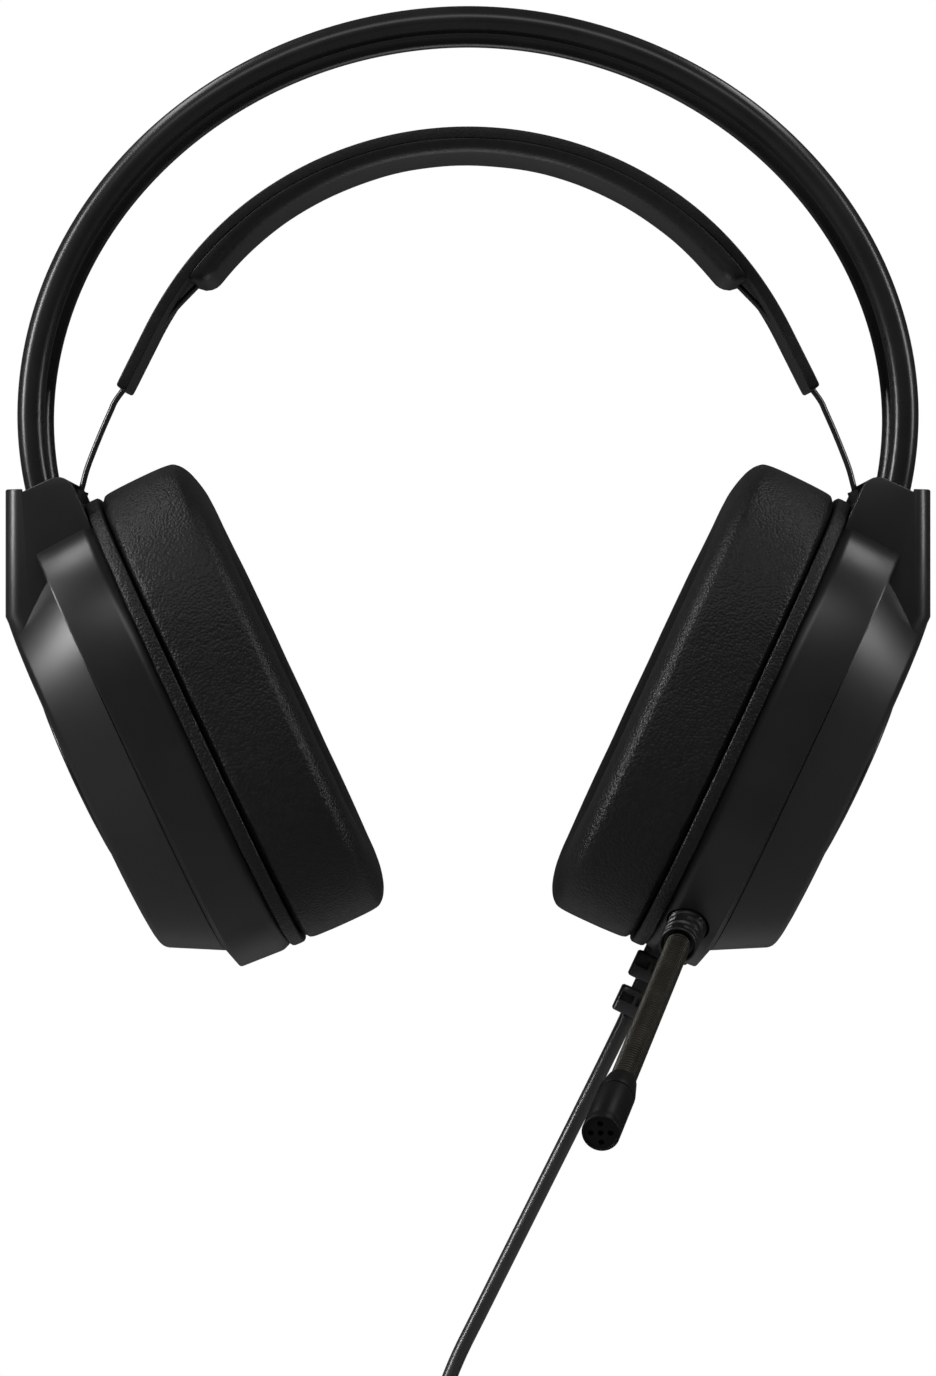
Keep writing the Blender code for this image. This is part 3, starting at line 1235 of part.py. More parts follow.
def main():
    clear_scene()
    gloss = finish("gloss_black", (0.012, 0.012, 0.013), 0.18)
    satin = finish("satin_black", (0.022, 0.022, 0.023), 0.42)
    inside = finish("inner_plastic", (0.03, 0.03, 0.03), 0.55)
    leather = finish("black_leather", (0.025, 0.025, 0.026), 0.55)
    cloth = finish("dust_cloth", (0.02, 0.02, 0.02), 0.9)
    rubber = finish("black_rubber", (0.018, 0.018, 0.018), 0.6)
    gunmetal = finish("gunmetal", (0.055, 0.05, 0.045), 0.4, 0.6)
    steel = finish("steel", (0.6, 0.6, 0.6), 0.3, 1.0)
    film = finish("driver_film", (0.5, 0.47, 0.4), 0.4)
    board_green = finish("board_green", (0.03, 0.14, 0.06), 0.5)
    build_arch(gloss)
    build_strap(leather)
    build_pad(leather)
    build_sleeves(leather)
    for name, side in (("left", 1), ("right", -1)):
        turn = Matrix.Rotation(side * CUP_TILT, 3, "Y")
        centre = Vector((side * CUP_CENTRE.x, CUP_CENTRE.y, CUP_CENTRE.z))
        cup = empty("cup_axis_" + name, centre, turn)
        frame = build_cup_frame(name, cup, side, satin)
        if side > 0:
            cut_left_cup(frame, cup, satin)
            build_volume(cup, inside, steel, board_green)
            build_relief(cup, rubber)
        build_cover(name, cup, side, satin, gloss)
        build_baffle(name, cup, side, inside, steel, cloth)
        build_driver(name, cup, side, steel, inside, film)
        build_cushion(name, cup, side, leather)
        build_suspension(name, side, cup, gloss, rubber, inside)
    build_microphone(rubber, gunmetal, satin, steel)
    build_cable(rubber, rubber, steel, inside)
    bpy.context.view_layer.update()


main()
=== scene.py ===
import math
import json
import bpy
from mathutils import Matrix, Vector, noise


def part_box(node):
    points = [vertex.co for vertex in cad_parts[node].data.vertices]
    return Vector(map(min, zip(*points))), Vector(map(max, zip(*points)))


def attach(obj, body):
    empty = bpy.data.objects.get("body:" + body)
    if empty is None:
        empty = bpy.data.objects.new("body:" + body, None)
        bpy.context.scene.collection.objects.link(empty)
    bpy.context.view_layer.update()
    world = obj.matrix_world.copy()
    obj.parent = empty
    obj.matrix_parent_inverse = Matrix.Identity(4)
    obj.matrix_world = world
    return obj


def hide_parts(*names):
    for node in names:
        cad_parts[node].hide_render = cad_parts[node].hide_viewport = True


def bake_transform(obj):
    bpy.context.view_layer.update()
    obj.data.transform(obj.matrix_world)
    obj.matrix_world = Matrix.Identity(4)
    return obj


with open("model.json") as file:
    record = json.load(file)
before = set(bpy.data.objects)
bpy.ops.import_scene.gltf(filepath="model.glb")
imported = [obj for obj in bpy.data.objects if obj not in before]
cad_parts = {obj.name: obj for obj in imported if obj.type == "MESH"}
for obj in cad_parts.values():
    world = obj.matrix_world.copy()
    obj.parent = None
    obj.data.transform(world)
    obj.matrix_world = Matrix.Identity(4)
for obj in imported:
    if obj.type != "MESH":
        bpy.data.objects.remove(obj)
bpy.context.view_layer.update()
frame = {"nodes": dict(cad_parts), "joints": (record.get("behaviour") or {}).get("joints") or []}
nodes = frame["nodes"]
joints = {joint["name"]: joint for joint in frame["joints"]}
mm = 0.001
print("frame loaded")


def clamp(value):
    return min(1.0, max(0.0, value))


def pick(piece):
    bpy.ops.object.select_all(action="DESELECT")
    piece.select_set(True)
    bpy.context.view_layer.objects.active = piece


def cleanMesh(piece, angle=35):
    pick(piece)
    bpy.ops.object.mode_set(mode="EDIT")
    bpy.ops.mesh.select_all(action="SELECT")
    bpy.ops.mesh.remove_doubles(threshold=0.003 * mm)
    bpy.ops.mesh.normals_make_consistent(inside=False)
    bpy.ops.object.mode_set(mode="OBJECT")
    bpy.ops.object.shade_smooth_by_angle(angle=math.radians(angle))


def drawStack(name, stops, corners=96, power=2.0, ends="flat"):
    # a loop across X, extruded and resized from stop to stop: (along, half Y, half Z)
    bpy.ops.object.select_all(action="DESELECT")
    bpy.ops.mesh.primitive_circle_add(vertices=corners, radius=1.0)
    piece = bpy.context.object
    piece.name = name
    along, wide, high = stops[0]
    for vertex in piece.data.vertices:
        c = vertex.co.x
        s = vertex.co.y
        reach = (abs(c) ** power + abs(s) ** power) ** (-1 / power)
        vertex.co = (along, wide * reach * c, high * reach * s)
    bpy.ops.object.mode_set(mode="EDIT")
    bpy.ops.mesh.select_all(action="SELECT")
    if ends != "ring":
        bpy.ops.mesh.edge_face_add()
    for stop in stops[1:]:
        bpy.ops.mesh.extrude_edges_move(TRANSFORM_OT_translate={"value": (stop[0] - along, 0, 0)})
        grow = (1, stop[1] / wide, stop[2] / high)
        bpy.ops.transform.resize(value=grow, center_override=(stop[0], 0, 0))
        along, wide, high = stop
    if ends == "flat":
        bpy.ops.mesh.edge_face_add()
    if ends == "dome":
        bpy.ops.mesh.merge(type="CENTER")
    bpy.ops.object.mode_set(mode="OBJECT")
    cleanMesh(piece)
    return piece


def ovalStops(rows):
    return [(along * mm, wide * mm, high * mm) for along, wide, high in rows]


def roundStops(pairs):
    return ovalStops([(along, radius, radius) for along, radius in pairs])


def weaveLoops(name, loops, ring=False):
    # a skin over closed loops of equal count
    count = len(loops[0])
    points = [point for loop in loops for point in loop]
    faces = []
    last = len(loops) if ring else len(loops) - 1
    for row in range(last):
        following = (row + 1) % len(loops)
        for k in range(count):
            n = (k + 1) % count
            faces.append((row * count + k, row * count + n, following * count + n, following * count + k))
    if not ring:
        faces.append(tuple(range(count)))
        faces.append(tuple(range((len(loops) - 1) * count, len(loops) * count)))
    mesh = bpy.data.meshes.new(name)
    mesh.from_pydata(points, [], faces)
    piece = bpy.data.objects.new(name, mesh)
    bpy.context.scene.collection.objects.link(piece)
    return piece


def smoothRoute(knots, steps):
    # points on a smooth curve through the knots
    last = len(knots) - 1
    fine = []
    for k in range(last):
        before, start, end, after = [knots[min(max(k + j, 0), last)] for j in (-1, 0, 1, 2)]
        for step in range(steps):
            t = step / steps
            fine.append(0.5 * (
                2 * start + (end - before) * t
                + (2 * before - 5 * start + 4 * end - after) * t ** 2
                + (3 * start - before - 3 * end + after) * t ** 3
            ))
    fine.append(knots[-1])
    return fine


def drawTube(name, points, radius, roundness):
    curve = bpy.data.curves.new(name, "CURVE")
    curve.dimensions = "3D"
    curve.bevel_depth = radius
    curve.bevel_resolution = roundness
    curve.use_fill_caps = True
    spline = curve.splines.new("POLY")
    spline.points.add(len(points) - 1)
    for slot, point in zip(spline.points, points):
        slot.co = (*point, 1.0)
    spline.use_smooth = True
    piece = bpy.data.objects.new(name, curve)
    bpy.context.scene.collection.objects.link(piece)
    return piece


def meshTube(name, points, radius, roundness):
    piece = drawTube(name, points, radius, roundness)
    pick(piece)
    bpy.ops.object.convert(target="MESH")
    piece = bpy.context.object
    cleanMesh(piece, 50)
    return piece


def carve(piece, tool, way="DIFFERENCE"):
    pick(piece)
    bpy.ops.object.modifier_add(type="BOOLEAN")
    cut = piece.modifiers[-1]
    cut.operation = way
    cut.solver = "EXACT"
    cut.object = tool
    bpy.ops.object.modifier_apply(modifier=cut.name)
    bpy.data.objects.remove(tool, do_unlink=True)


def blockTool(low, high):
    middle = [(a + b) / 2 * mm for a, b in zip(low, high)]
    size = [(b - a) * mm for a, b in zip(low, high)]
    bpy.ops.mesh.primitive_cube_add(size=1.0, location=middle, scale=size)
    return bpy.context.object


def rodTool(start, direction, length, radius, corners=32):
    turn = Vector(direction).to_track_quat("Z", "Y").to_euler()
    middle = (Vector(start) + Vector(direction).normalized() * length / 2) * mm
    bpy.ops.mesh.primitive_cylinder_add(
        vertices=corners, radius=radius * mm, depth=length * mm, location=middle, rotation=turn)
    return bpy.context.object


def mirrorMesh(piece):
    piece.data.transform(Matrix.Scale(-1, 4, (1, 0, 0)))
    piece.data.flip_normals()


def copyAcross(piece, name):
    # the same piece on the headset's other side
    pick(piece)
    bpy.ops.object.duplicate()
    other = bpy.context.object
    other.name = name
    mirrorMesh(other)
    return other


def dress(piece, finish, body=None, hides=()):
    piece.data.materials.clear()
    piece.data.materials.append(finish)
    if body:
        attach(piece, body)
    if hides:
        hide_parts(*hides)


# camera at the photograph's angle
view = {"place": (0.0, -1.5, -0.114), "turn": (math.pi / 2, 0.0, 0.0), "lens": 180.5, "sensor": 36.0}
bpy.ops.object.select_all(action="DESELECT")
bpy.ops.object.camera_add(location=view["place"], rotation=view["turn"])
camera = bpy.context.object
camera.data.lens = view["lens"]
camera.data.sensor_width = view["sensor"]
camera.data.clip_end = 20.0
bpy.context.scene.camera = camera
print("camera set")


def addNode(tree, kind, values=None, **settings):
    made = tree.nodes.new(kind)
    for key, value in settings.items():
        setattr(made, key, value)
    for key, value in (values or {}).items():
        made.inputs[key].default_value = value
    return made


def joinNodes(tree, *rows):
    # links between nodes: (from, its output, to, its input)
    for source, output, target, entry in rows:
        tree.links.new(source.outputs[output], target.inputs[entry])


def startFinish(name, look, low, high):
    # a shader with a tint between two shades, and a relief
    finish = bpy.data.materials.new(name)
    finish.use_nodes = True
    tree = finish.node_tree
    shader = tree.nodes["Principled BSDF"]
    shader.inputs["Metallic"].default_value = look.get("metal", 0.0)
    shader.inputs["Specular IOR Level"].default_value = look.get("specular", 0.5)
    shader.inputs["Coat Weight"].default_value = look.get("coat", 0.0)
    shader.inputs["Coat Roughness"].default_value = 0.1
    tint = addNode(tree, "ShaderNodeValToRGB")
    first, second = tint.color_ramp.elements
    first.position = low
    second.position = high
    first.color = (*look["dark"], 1.0)
    second.color = (*look["light"], 1.0)
    relief = addNode(tree, "ShaderNodeBump", {"Strength": look["bump"], "Distance": look["depth"] * mm})
    joinNodes(tree, (tint, "Color", shader, "Base Color"), (relief, "Normal", shader, "Normal"))
    return finish, tree, shader, tint, relief


def mouldFinish(name, look):
    # slow clouding of tint and gloss under a fine moulded grain
    finish, tree, shader, tint, relief = startFinish(name, look, 0.35, 0.7)
    place = addNode(tree, "ShaderNodeTexCoord")
    cloud = addNode(tree, "ShaderNodeTexNoise", {"Scale": look["cloud"], "Detail": 4.0, "Roughness": 0.6})
    gloss = addNode(tree, "ShaderNodeMapRange", {
        "From Min": 0.3, "From Max": 0.7, "To Min": look["rough"][0], "To Max": look["rough"][1]})
    grain = addNode(tree, "ShaderNodeTexNoise", {"Scale": look["grain"], "Detail": 3.0, "Roughness": 0.55})
    joinNodes(
        tree, (place, "Object", cloud, "Vector"), (place, "Object", grain, "Vector"),
        (cloud, "Fac", tint, "Fac"), (cloud, "Fac", gloss, "Value"),
        (gloss, "Result", shader, "Roughness"), (grain, "Fac", relief, "Height"))
    return finish


def leatherFinish(name, look):
    # pebbled cells over slow creases; the tint follows the creases' height, darker where they sink: painted
    # shade in the creases
    finish, tree, shader, tint, relief = startFinish(name, look, 0.25, 0.75)
    shader.inputs["Sheen Weight"].default_value = look.get("sheen", 0.0)
    shader.inputs["Sheen Roughness"].default_value = 0.4
    place = addNode(tree, "ShaderNodeTexCoord")
    cells = addNode(tree, "ShaderNodeTexVoronoi", {"Scale": look["cell"], "Randomness": 1.0})
    creasesAndShade = addNode(tree, "ShaderNodeTexNoise", {"Scale": look["crease"], "Detail": 6.0, "Roughness": 0.6})
    gloss = addNode(tree, "ShaderNodeMapRange", {
        "From Min": 0.3, "From Max": 0.7, "To Min": look["rough"][0], "To Max": look["rough"][1]})
    pile = addNode(tree, "ShaderNodeMath", {1: -look["cellDepth"]}, operation="MULTIPLY")
    total = addNode(tree, "ShaderNodeMath", {1: look["creaseDepth"]}, operation="MULTIPLY_ADD")
    # the creases' noise sets the tint as well as the height: painted shade, darker in the low creases
    joinNodes(
        tree, (place, "Object", cells, "Vector"), (place, "Object", creasesAndShade, "Vector"),
        (creasesAndShade, "Fac", tint, "Fac"), (creasesAndShade, "Fac", gloss, "Value"), (cells, "Distance", pile, 0),
        (creasesAndShade, "Fac", total, 0), (pile, "Value", total, 2), (gloss, "Result", shader, "Roughness"),
        (total, "Value", relief, "Height"))
    return finish


def wovenFinish(name, look):
    # two sets of threads that cross; the tint follows their height, darker in the gaps between threads:
    # painted shade
    finish, tree, shader, tint, relief = startFinish(name, look, 0.1, 0.6)
    place = addNode(tree, "ShaderNodeTexCoord")
    wave = {"Scale": look["thread"], "Distortion": 0.4}
    across = addNode(tree, "ShaderNodeTexWave", wave, bands_direction="Y")
    upward = addNode(tree, "ShaderNodeTexWave", wave, bands_direction="Z")
    threadHeightAndShade = addNode(tree, "ShaderNodeMath", operation="MULTIPLY")
    shader.inputs["Roughness"].default_value = look["rough"][0]
    # the threads' height also sets the tint: painted shade in the gaps between threads
    joinNodes(
        tree, (place, "Object", across, "Vector"), (place, "Object", upward, "Vector"),
        (across, "Fac", threadHeightAndShade, 0), (upward, "Fac", threadHeightAndShade, 1), (threadHeightAndShade, "Value", tint, "Fac"),
        (threadHeightAndShade, "Value", relief, "Height"))
    return finish


def grey(value):
    return (value, value, value)


satinLook = {
    "dark": grey(0.009), "light": grey(0.012), "cloud": 35.0, "rough": (0.32, 0.38),
    "grain": 2600.0, "bump": 0.25, "depth": 0.02}
coverLook = {
    "dark": grey(0.008), "light": grey(0.011), "cloud": 25.0, "rough": (0.32, 0.37),
    "grain": 2200.0, "bump": 0.12, "depth": 0.015}
capLook = {
    "dark": grey(0.008), "light": grey(0.011), "cloud": 30.0, "rough": (0.27, 0.32),
    "grain": 900.0, "bump": 0.02, "depth": 0.01}
tubeLook = {
    "dark": grey(0.010), "light": grey(0.014), "cloud": 60.0, "rough": (0.26, 0.29),
    "grain": 700.0, "bump": 0.01, "depth": 0.005, "specular": 0.33}
wireLook = {
    "dark": grey(0.012), "light": grey(0.018), "cloud": 120.0, "rough": (0.2, 0.3),
    "grain": 2500.0, "bump": 0.08, "depth": 0.01, "coat": 0.6}
innerLook = {
    "dark": grey(0.012), "light": grey(0.017), "cloud": 40.0, "rough": (0.5, 0.6),
    "grain": 1800.0, "bump": 0.3, "depth": 0.03}
rubberLook = {
    "dark": grey(0.007), "light": grey(0.010), "cloud": 90.0, "rough": (0.33, 0.4),
    "grain": 2000.0, "bump": 0.15, "depth": 0.02, "specular": 0.36}
cableLook = {
    "dark": grey(0.022), "light": grey(0.027), "cloud": 60.0, "rough": (0.3, 0.36),
    "grain": 900.0, "bump": 0.02, "depth": 0.01, "specular": 0.7}
neckLook = {
    "dark": (0.019, 0.017, 0.012), "light": (0.03, 0.027, 0.02), "cloud": 160.0, "rough": (0.36, 0.46),
    "grain": 1500.0, "bump": 0.1, "depth": 0.01, "metal": 0.3, "specular": 0.35}
micLook = {
    "dark": (0.0065, 0.0062, 0.006), "light": (0.009, 0.0087, 0.0082), "cloud": 80.0, "rough": (0.42, 0.5),
    "grain": 2400.0, "bump": 0.15, "depth": 0.015, "specular": 0.12}
steelLook = {
    "dark": grey(0.45), "light": grey(0.6), "cloud": 150.0, "rough": (0.25, 0.35),
    "grain": 1800.0, "bump": 0.05, "depth": 0.01, "metal": 1.0}
ferriteLook = {
    "dark": grey(0.03), "light": grey(0.05), "cloud": 200.0, "rough": (0.55, 0.7),
    "grain": 1800.0, "bump": 0.3, "depth": 0.03}
filmLook = {
    "dark": grey(0.25), "light": grey(0.35), "cloud": 120.0, "rough": (0.2, 0.3),
    "grain": 900.0, "bump": 0.1, "depth": 0.02}
boardLook = {
    "dark": (0.005, 0.035, 0.012), "light": (0.01, 0.06, 0.02), "cloud": 300.0, "rough": (0.3, 0.4),
    "grain": 1200.0, "bump": 0.15, "depth": 0.02}
# in both leather looks below, the darker tone is painted shade in the low creases
leatherLook = {
    "dark": grey(0.008), "light": grey(0.011), "crease": 740.0, "cell": 1700.0, "rough": (0.36, 0.47),
    "cellDepth": 1.0, "creaseDepth": 0.9, "bump": 0.95, "depth": 0.145, "sheen": 0.02, "specular": 0.23}
strapLook = {
    "dark": grey(0.006), "light": grey(0.008), "crease": 700.0, "cell": 1900.0, "rough": (0.4, 0.48),
    "cellDepth": 1.0, "creaseDepth": 0.6, "bump": 0.4, "depth": 0.08, "sheen": 0.02, "specular": 0.26}
# the darker cloth tone is painted shade in the gaps between threads
clothLook = {
    "dark": grey(0.004), "light": grey(0.02), "thread": 420.0, "rough": (0.85, 0.9),
    "bump": 0.5, "depth": 0.15, "specular": 0.2}

satinBlack = mouldFinish("satinBlack", satinLook)
coverBlack = mouldFinish("coverBlack", coverLook)
glossBlack = mouldFinish("glossBlack", capLook)
tubeBlack = mouldFinish("tubeBlack", tubeLook)
wireBlack = mouldFinish("wireBlack", wireLook)
innerPlastic = mouldFinish("innerPlastic", innerLook)
blackRubber = mouldFinish("blackRubber", rubberLook)
cableBlack = mouldFinish("cableBlack", cableLook)
neckMetal = mouldFinish("neckMetal", neckLook)
micBlack = mouldFinish("micBlack", micLook)
plainSteel = mouldFinish("plainSteel", steelLook)
ferrite = mouldFinish("ferrite", ferriteLook)
driverFilm = mouldFinish("driverFilm", filmLook)
boardGreen = mouldFinish("boardGreen", boardLook)
blackLeather = leatherFinish("blackLeather", leatherLook)
strapLeather = leatherFinish("strapLeather", strapLook)
dustCloth = wovenFinish("dustCloth", clothLook)
print("finishes made")

# places that several pieces share
cup = {
    "x": 58.47829, "z": -121.90932, "tilt": 25.0, "halfY": 43.5, "halfZ": 52.2,
    "power": 3.0, "corners": 128}
cupPlace = Matrix.Translation(Vector((cup["x"], 0, cup["z"])) * mm)
cupPlace = cupPlace @ Matrix.Rotation(math.radians(cup["tilt"]), 4, "Y")


def cupStops(pairs):
    return [(w * mm, (cup["halfY"] - inset) * mm, (cup["halfZ"] - inset) * mm) for w, inset in pairs]


def drawCupStack(name, pairs, ends):
    return drawStack(name, cupStops(pairs), cup["corners"], cup["power"], ends)


def ovalPoint(w, inset, turn):
    c = math.cos(turn)
    s = math.sin(turn)
    reach = (abs(c) ** cup["power"] + abs(s) ** cup["power"]) ** (-1 / cup["power"])
    return Vector((w, (cup["halfY"] - inset) * reach * c, (cup["halfZ"] - inset) * reach * s)) * mm


# the cable: lead, coil and tail in one line
cable = {
    "radius": 1.65, "exit": (5.2, 0.0, -67.5), "straight": 3.3,
    "route": (
        (28.7, 0.0, -197.6), (16.2, 0.0, -222.6), (3.7, 0.0, -247.6), (-2.6, -0.4, -260.4),
        (-5.9, -2.0, -269.7), (-7.0, -3.8, -278.6), (-7.1, -5.2, -286.2)),
    "coilX": 18.7, "coilZ": -295.0, "coilRadius": 25.8, "pitch": 3.85, "turns": 3.5, "layers": 4,
    "tail": 15.6}


def coilPoints():
    total = cable["layers"] * cable["turns"]
    count = round(total * 36)
    points = []
    for k in range(count + 1):
        turn = total * k / count
        layer = min(cable["layers"] - 1, int(turn / cable["turns"]))
        within = turn - layer * cable["turns"]
        inwards = within if layer % 2 == 0 else cable["turns"] - within
        radius = cable["coilRadius"] - cable["pitch"] * inwards
        level = layer
        for border in range(1, cable["layers"]):
            near = turn - border * cable["turns"]
            if abs(near) < 0.25:
                share = near * 2 + 0.5
                level = border - 1 + share * share * (3 - 2 * share)
        angle = math.pi + math.tau * turn
        y = (level - (cable["layers"] - 1) / 2) * cable["pitch"]
        x = cable["coilX"] + radius * math.cos(angle)
        points.append(Vector((x, y, cable["coilZ"] + radius * math.sin(angle))) * mm)
    return points


cableExit = cupPlace @ (Vector(cable["exit"]) * mm)
leaving = cupPlace.to_3x3() @ Vector((0, 0, -1))
downward = Vector((0, 0, -1))
coil = coilPoints()
knots = [cableExit, cableExit + leaving * cable["straight"] * mm]
knots += [Vector(point) * mm for point in cable["route"]]
knots.append(coil[0] - downward * cable["straight"] * mm)
cablePoints = smoothRoute(knots, 6) + coil
cablePoints.append(coil[-1] + downward * cable["straight"] * mm)
cablePoints.append(coil[-1] + downward * (cable["straight"] + cable["tail"]) * mm)
cablePiece = drawTube("cableLine", cablePoints, cable["radius"] * mm, 8)
dress(cablePiece, cableBlack, "frame", ("cable_lead", "cable_coil", "cable_tail"))

# cup frames: a ring with a sloped outer face, and the bracket grown out of its top
ringProfile = [
    (1.7, 1.15), (1.75, 0.92), (1.95, 0.75), (3.3, 0.2), (3.7, 0.09), (4.2, 0.06), (13.1, 0.6), (13.35, 0.64),
    (13.55, 0.72), (13.62, 0.9), (14.8, 4.8), (14.9, 5.1), (14.9, 7.7), (13.5, 7.7), (13.5, 2.7), (1.7, 2.7),
    (1.7, 1.15)]
ringLean = {"shift": 0.84, "rate": 0.0172, "fromW": 13.0, "toW": 13.8, "rim": 0.965}
bracket = {
    "halfY": 26.15, "innerW": 2.0, "topZ": 60.7, "round": 3.5, "lipFoot": (12.2, 60.7),
    "lipInner": (11.94, 61.21), "lipOuter": (15.01, 62.6), "shoulder": (26.5, 37.97), "tip": (26.5, 31.0),
    "rootW": 14.6, "baseZ": 45.6, "sideRound": 3.0, "edge": 0.4, "slices": 12, "crown": 1.5,
    "bowFrom": 31, "bowRun": 6}
cuts = {
    "hollow": [(-4.0, 2.75), (13.45, 2.75)], "room": [(13.2, 7.75), (14.75, 7.75), (14.75, 5.15)],
    "roomEnd": (50.0, 15.5), "roomGap": 0.06, "pocketLow": (0.5, -21.0, 53.4),
    "pocketHigh": (4.2, 21.0, 58.6), "footW": 9.0, "footY": 16.0, "footDown": (-0.139, 0, -0.990),
    "footAbove": 5, "footDepth": 15.5, "footRadius": 3.25, "wireFrom": (-0.5, 0, 59.2),
    "wireAlong": (0.695, 0, -0.719), "wireDepth": 9.0, "wireRadius": 1.95, "reliefLow": (2.1, -2.9, -56.0),
    "reliefHigh": (8.3, 2.9, -46.0), "wheelBack": 0.4, "wheelDepth": 3.2, "wheelRadius": 8.1,
    "bootDepth": 20, "bootBehind": 12}
coverProfile = [
    (14.93, 7.0), (14.93, 5.3), (15.1, 5.22), (26.0, 10.94), (26.45, 11.28), (26.85, 11.75),
    (27.12, 12.35), (27.32, 13.2), (27.6, 15.5), (27.9, 19.0), (28.12, 23.0), (28.22, 28.0),
    (28.25, 34.0), (28.25, 40.0)]


def turnBack(direction):
    # a direction of the world in the cup's own frame
    return cupPlace.to_3x3().inverted() @ Vector(direction)


def bracketOutline():
    points = []
    for k in range(7):
        bend = math.pi - math.pi / 2 * k / 6
        w = bracket["innerW"] + bracket["round"] * (1 + math.cos(bend))
        z = bracket["topZ"] - bracket["round"] * (1 - math.sin(bend))
        points.append((w, z))
    points += [bracket[key] for key in ("lipFoot", "lipInner", "lipOuter", "shoulder", "tip")]
    points += [
        (bracket["rootW"], bracket["tip"][1]),
        (bracket["rootW"], bracket["baseZ"]),
        (bracket["innerW"], bracket["baseZ"])]
    return points


def drawBracket():
    outline = bracketOutline()
    bpy.ops.object.select_all(action="DESELECT")
    bpy.ops.mesh.primitive_circle_add(vertices=len(outline), radius=1.0, fill_type="NGON")
    piece = bpy.context.object
    for vertex, (w, z) in zip(piece.data.vertices, outline):
        vertex.co = Vector((w, -bracket["halfY"], z)) * mm
    bpy.ops.object.mode_set(mode="EDIT")
    bpy.ops.mesh.select_all(action="SELECT")
    depth = (0, 2 * bracket["halfY"] * mm, 0)
    bpy.ops.mesh.extrude_region_move(TRANSFORM_OT_translate={"value": depth})
    bpy.ops.mesh.select_all(action="SELECT")
    bpy.ops.mesh.normals_make_consistent(inside=False)
    bpy.ops.mesh.select_mode(type="EDGE")
    bpy.ops.mesh.select_all(action="DESELECT")
    bpy.ops.object.mode_set(mode="OBJECT")
    outer = [bracket[key] for key in ("lipOuter", "shoulder", "tip")]
    for edge in piece.data.edges:
        ends = [piece.data.vertices[k].co / mm for k in edge.vertices]
        upright = all(any(abs(e.x - w) + abs(e.z - z) < 0.1 for w, z in outer) for e in ends)
        edge.select = upright and abs(ends[0].y - ends[1].y) < 0.1
    bpy.ops.object.mode_set(mode="EDIT")
    bpy.ops.mesh.bevel(offset=bracket["sideRound"] * mm, segments=8, affect="EDGES")
    bpy.ops.mesh.select_mode(type="VERT")
    bpy.ops.object.mode_set(mode="OBJECT")
    bpy.ops.object.modifier_add(type="BEVEL")
    soften = piece.modifiers[-1]
    soften.width = bracket["edge"] * mm
    soften.segments = 3
    soften.limit_method = "ANGLE"
    soften.angle_limit = math.radians(50)
    bpy.ops.object.modifier_apply(modifier=soften.name)
    # cuts across the depth, then the outer face bows out between its front and back edges
    bpy.ops.object.mode_set(mode="EDIT")
    bpy.ops.mesh.select_mode(type="EDGE")
    bpy.ops.mesh.select_all(action="DESELECT")
    bpy.ops.object.mode_set(mode="OBJECT")
    for edge in piece.data.edges:
        span = (piece.data.vertices[edge.vertices[0]].co - piece.data.vertices[edge.vertices[1]].co) / mm
        edge.select = abs(span.y) > bracket["halfY"] and abs(span.x) + abs(span.z) < 0.1
    bpy.ops.object.mode_set(mode="EDIT")
    bpy.ops.mesh.subdivide(number_cuts=bracket["slices"])
    bpy.ops.mesh.select_mode(type="VERT")
    bpy.ops.object.mode_set(mode="OBJECT")
    sideways = turnBack((1, 0, 0))
    for vertex in piece.data.vertices:
        share = clamp((vertex.co.dot(sideways) / mm - bracket["bowFrom"]) / bracket["bowRun"])
        bow = bracket["crown"] * (1 - (vertex.co.y / mm / bracket["halfY"]) ** 2)
        vertex.co += sideways * bow * share * share * (3 - 2 * share) * mm
    return piece


def drawCupFrame():
    ring = drawCupStack("cupRing", ringProfile, "ring")
    for vertex in ring.data.vertices:
        # the outer corner leans, so the ring is wider at its top
        w, y, z = vertex.co / mm
        reach = abs(y / cup["halfY"]) ** cup["power"] + abs(z / cup["halfZ"]) ** cup["power"]
        if ringLean["fromW"] < w < ringLean["toW"] and reach > ringLean["rim"] ** cup["power"]:
            vertex.co.x += max(0.0, ringLean["shift"] + ringLean["rate"] * z) * mm
    top = drawBracket()
    carve(top, drawCupStack("hollowTool", cuts["hollow"], "flat"))
    carve(top, blockTool(cuts["pocketLow"], cuts["pocketHigh"]))
    room = cuts["room"] + [(w, inset - cuts["roomGap"]) for w, inset in coverProfile[3:9]] + [cuts["roomEnd"]]
    carve(top, drawCupStack("coverTool", room, "flat"))
    carve(ring, top, "UNION")
    footDown = turnBack(cuts["footDown"])
    footStart = Vector((cuts["footW"], 0, bracket["topZ"])) - cuts["footAbove"] * footDown
    for y in (-cuts["footY"], cuts["footY"]):
        carve(ring, rodTool(footStart + Vector((0, y, 0)), footDown, cuts["footDepth"], cuts["footRadius"]))
    carve(ring, rodTool(cuts["wireFrom"], cuts["wireAlong"], cuts["wireDepth"], cuts["wireRadius"]))
    return ring


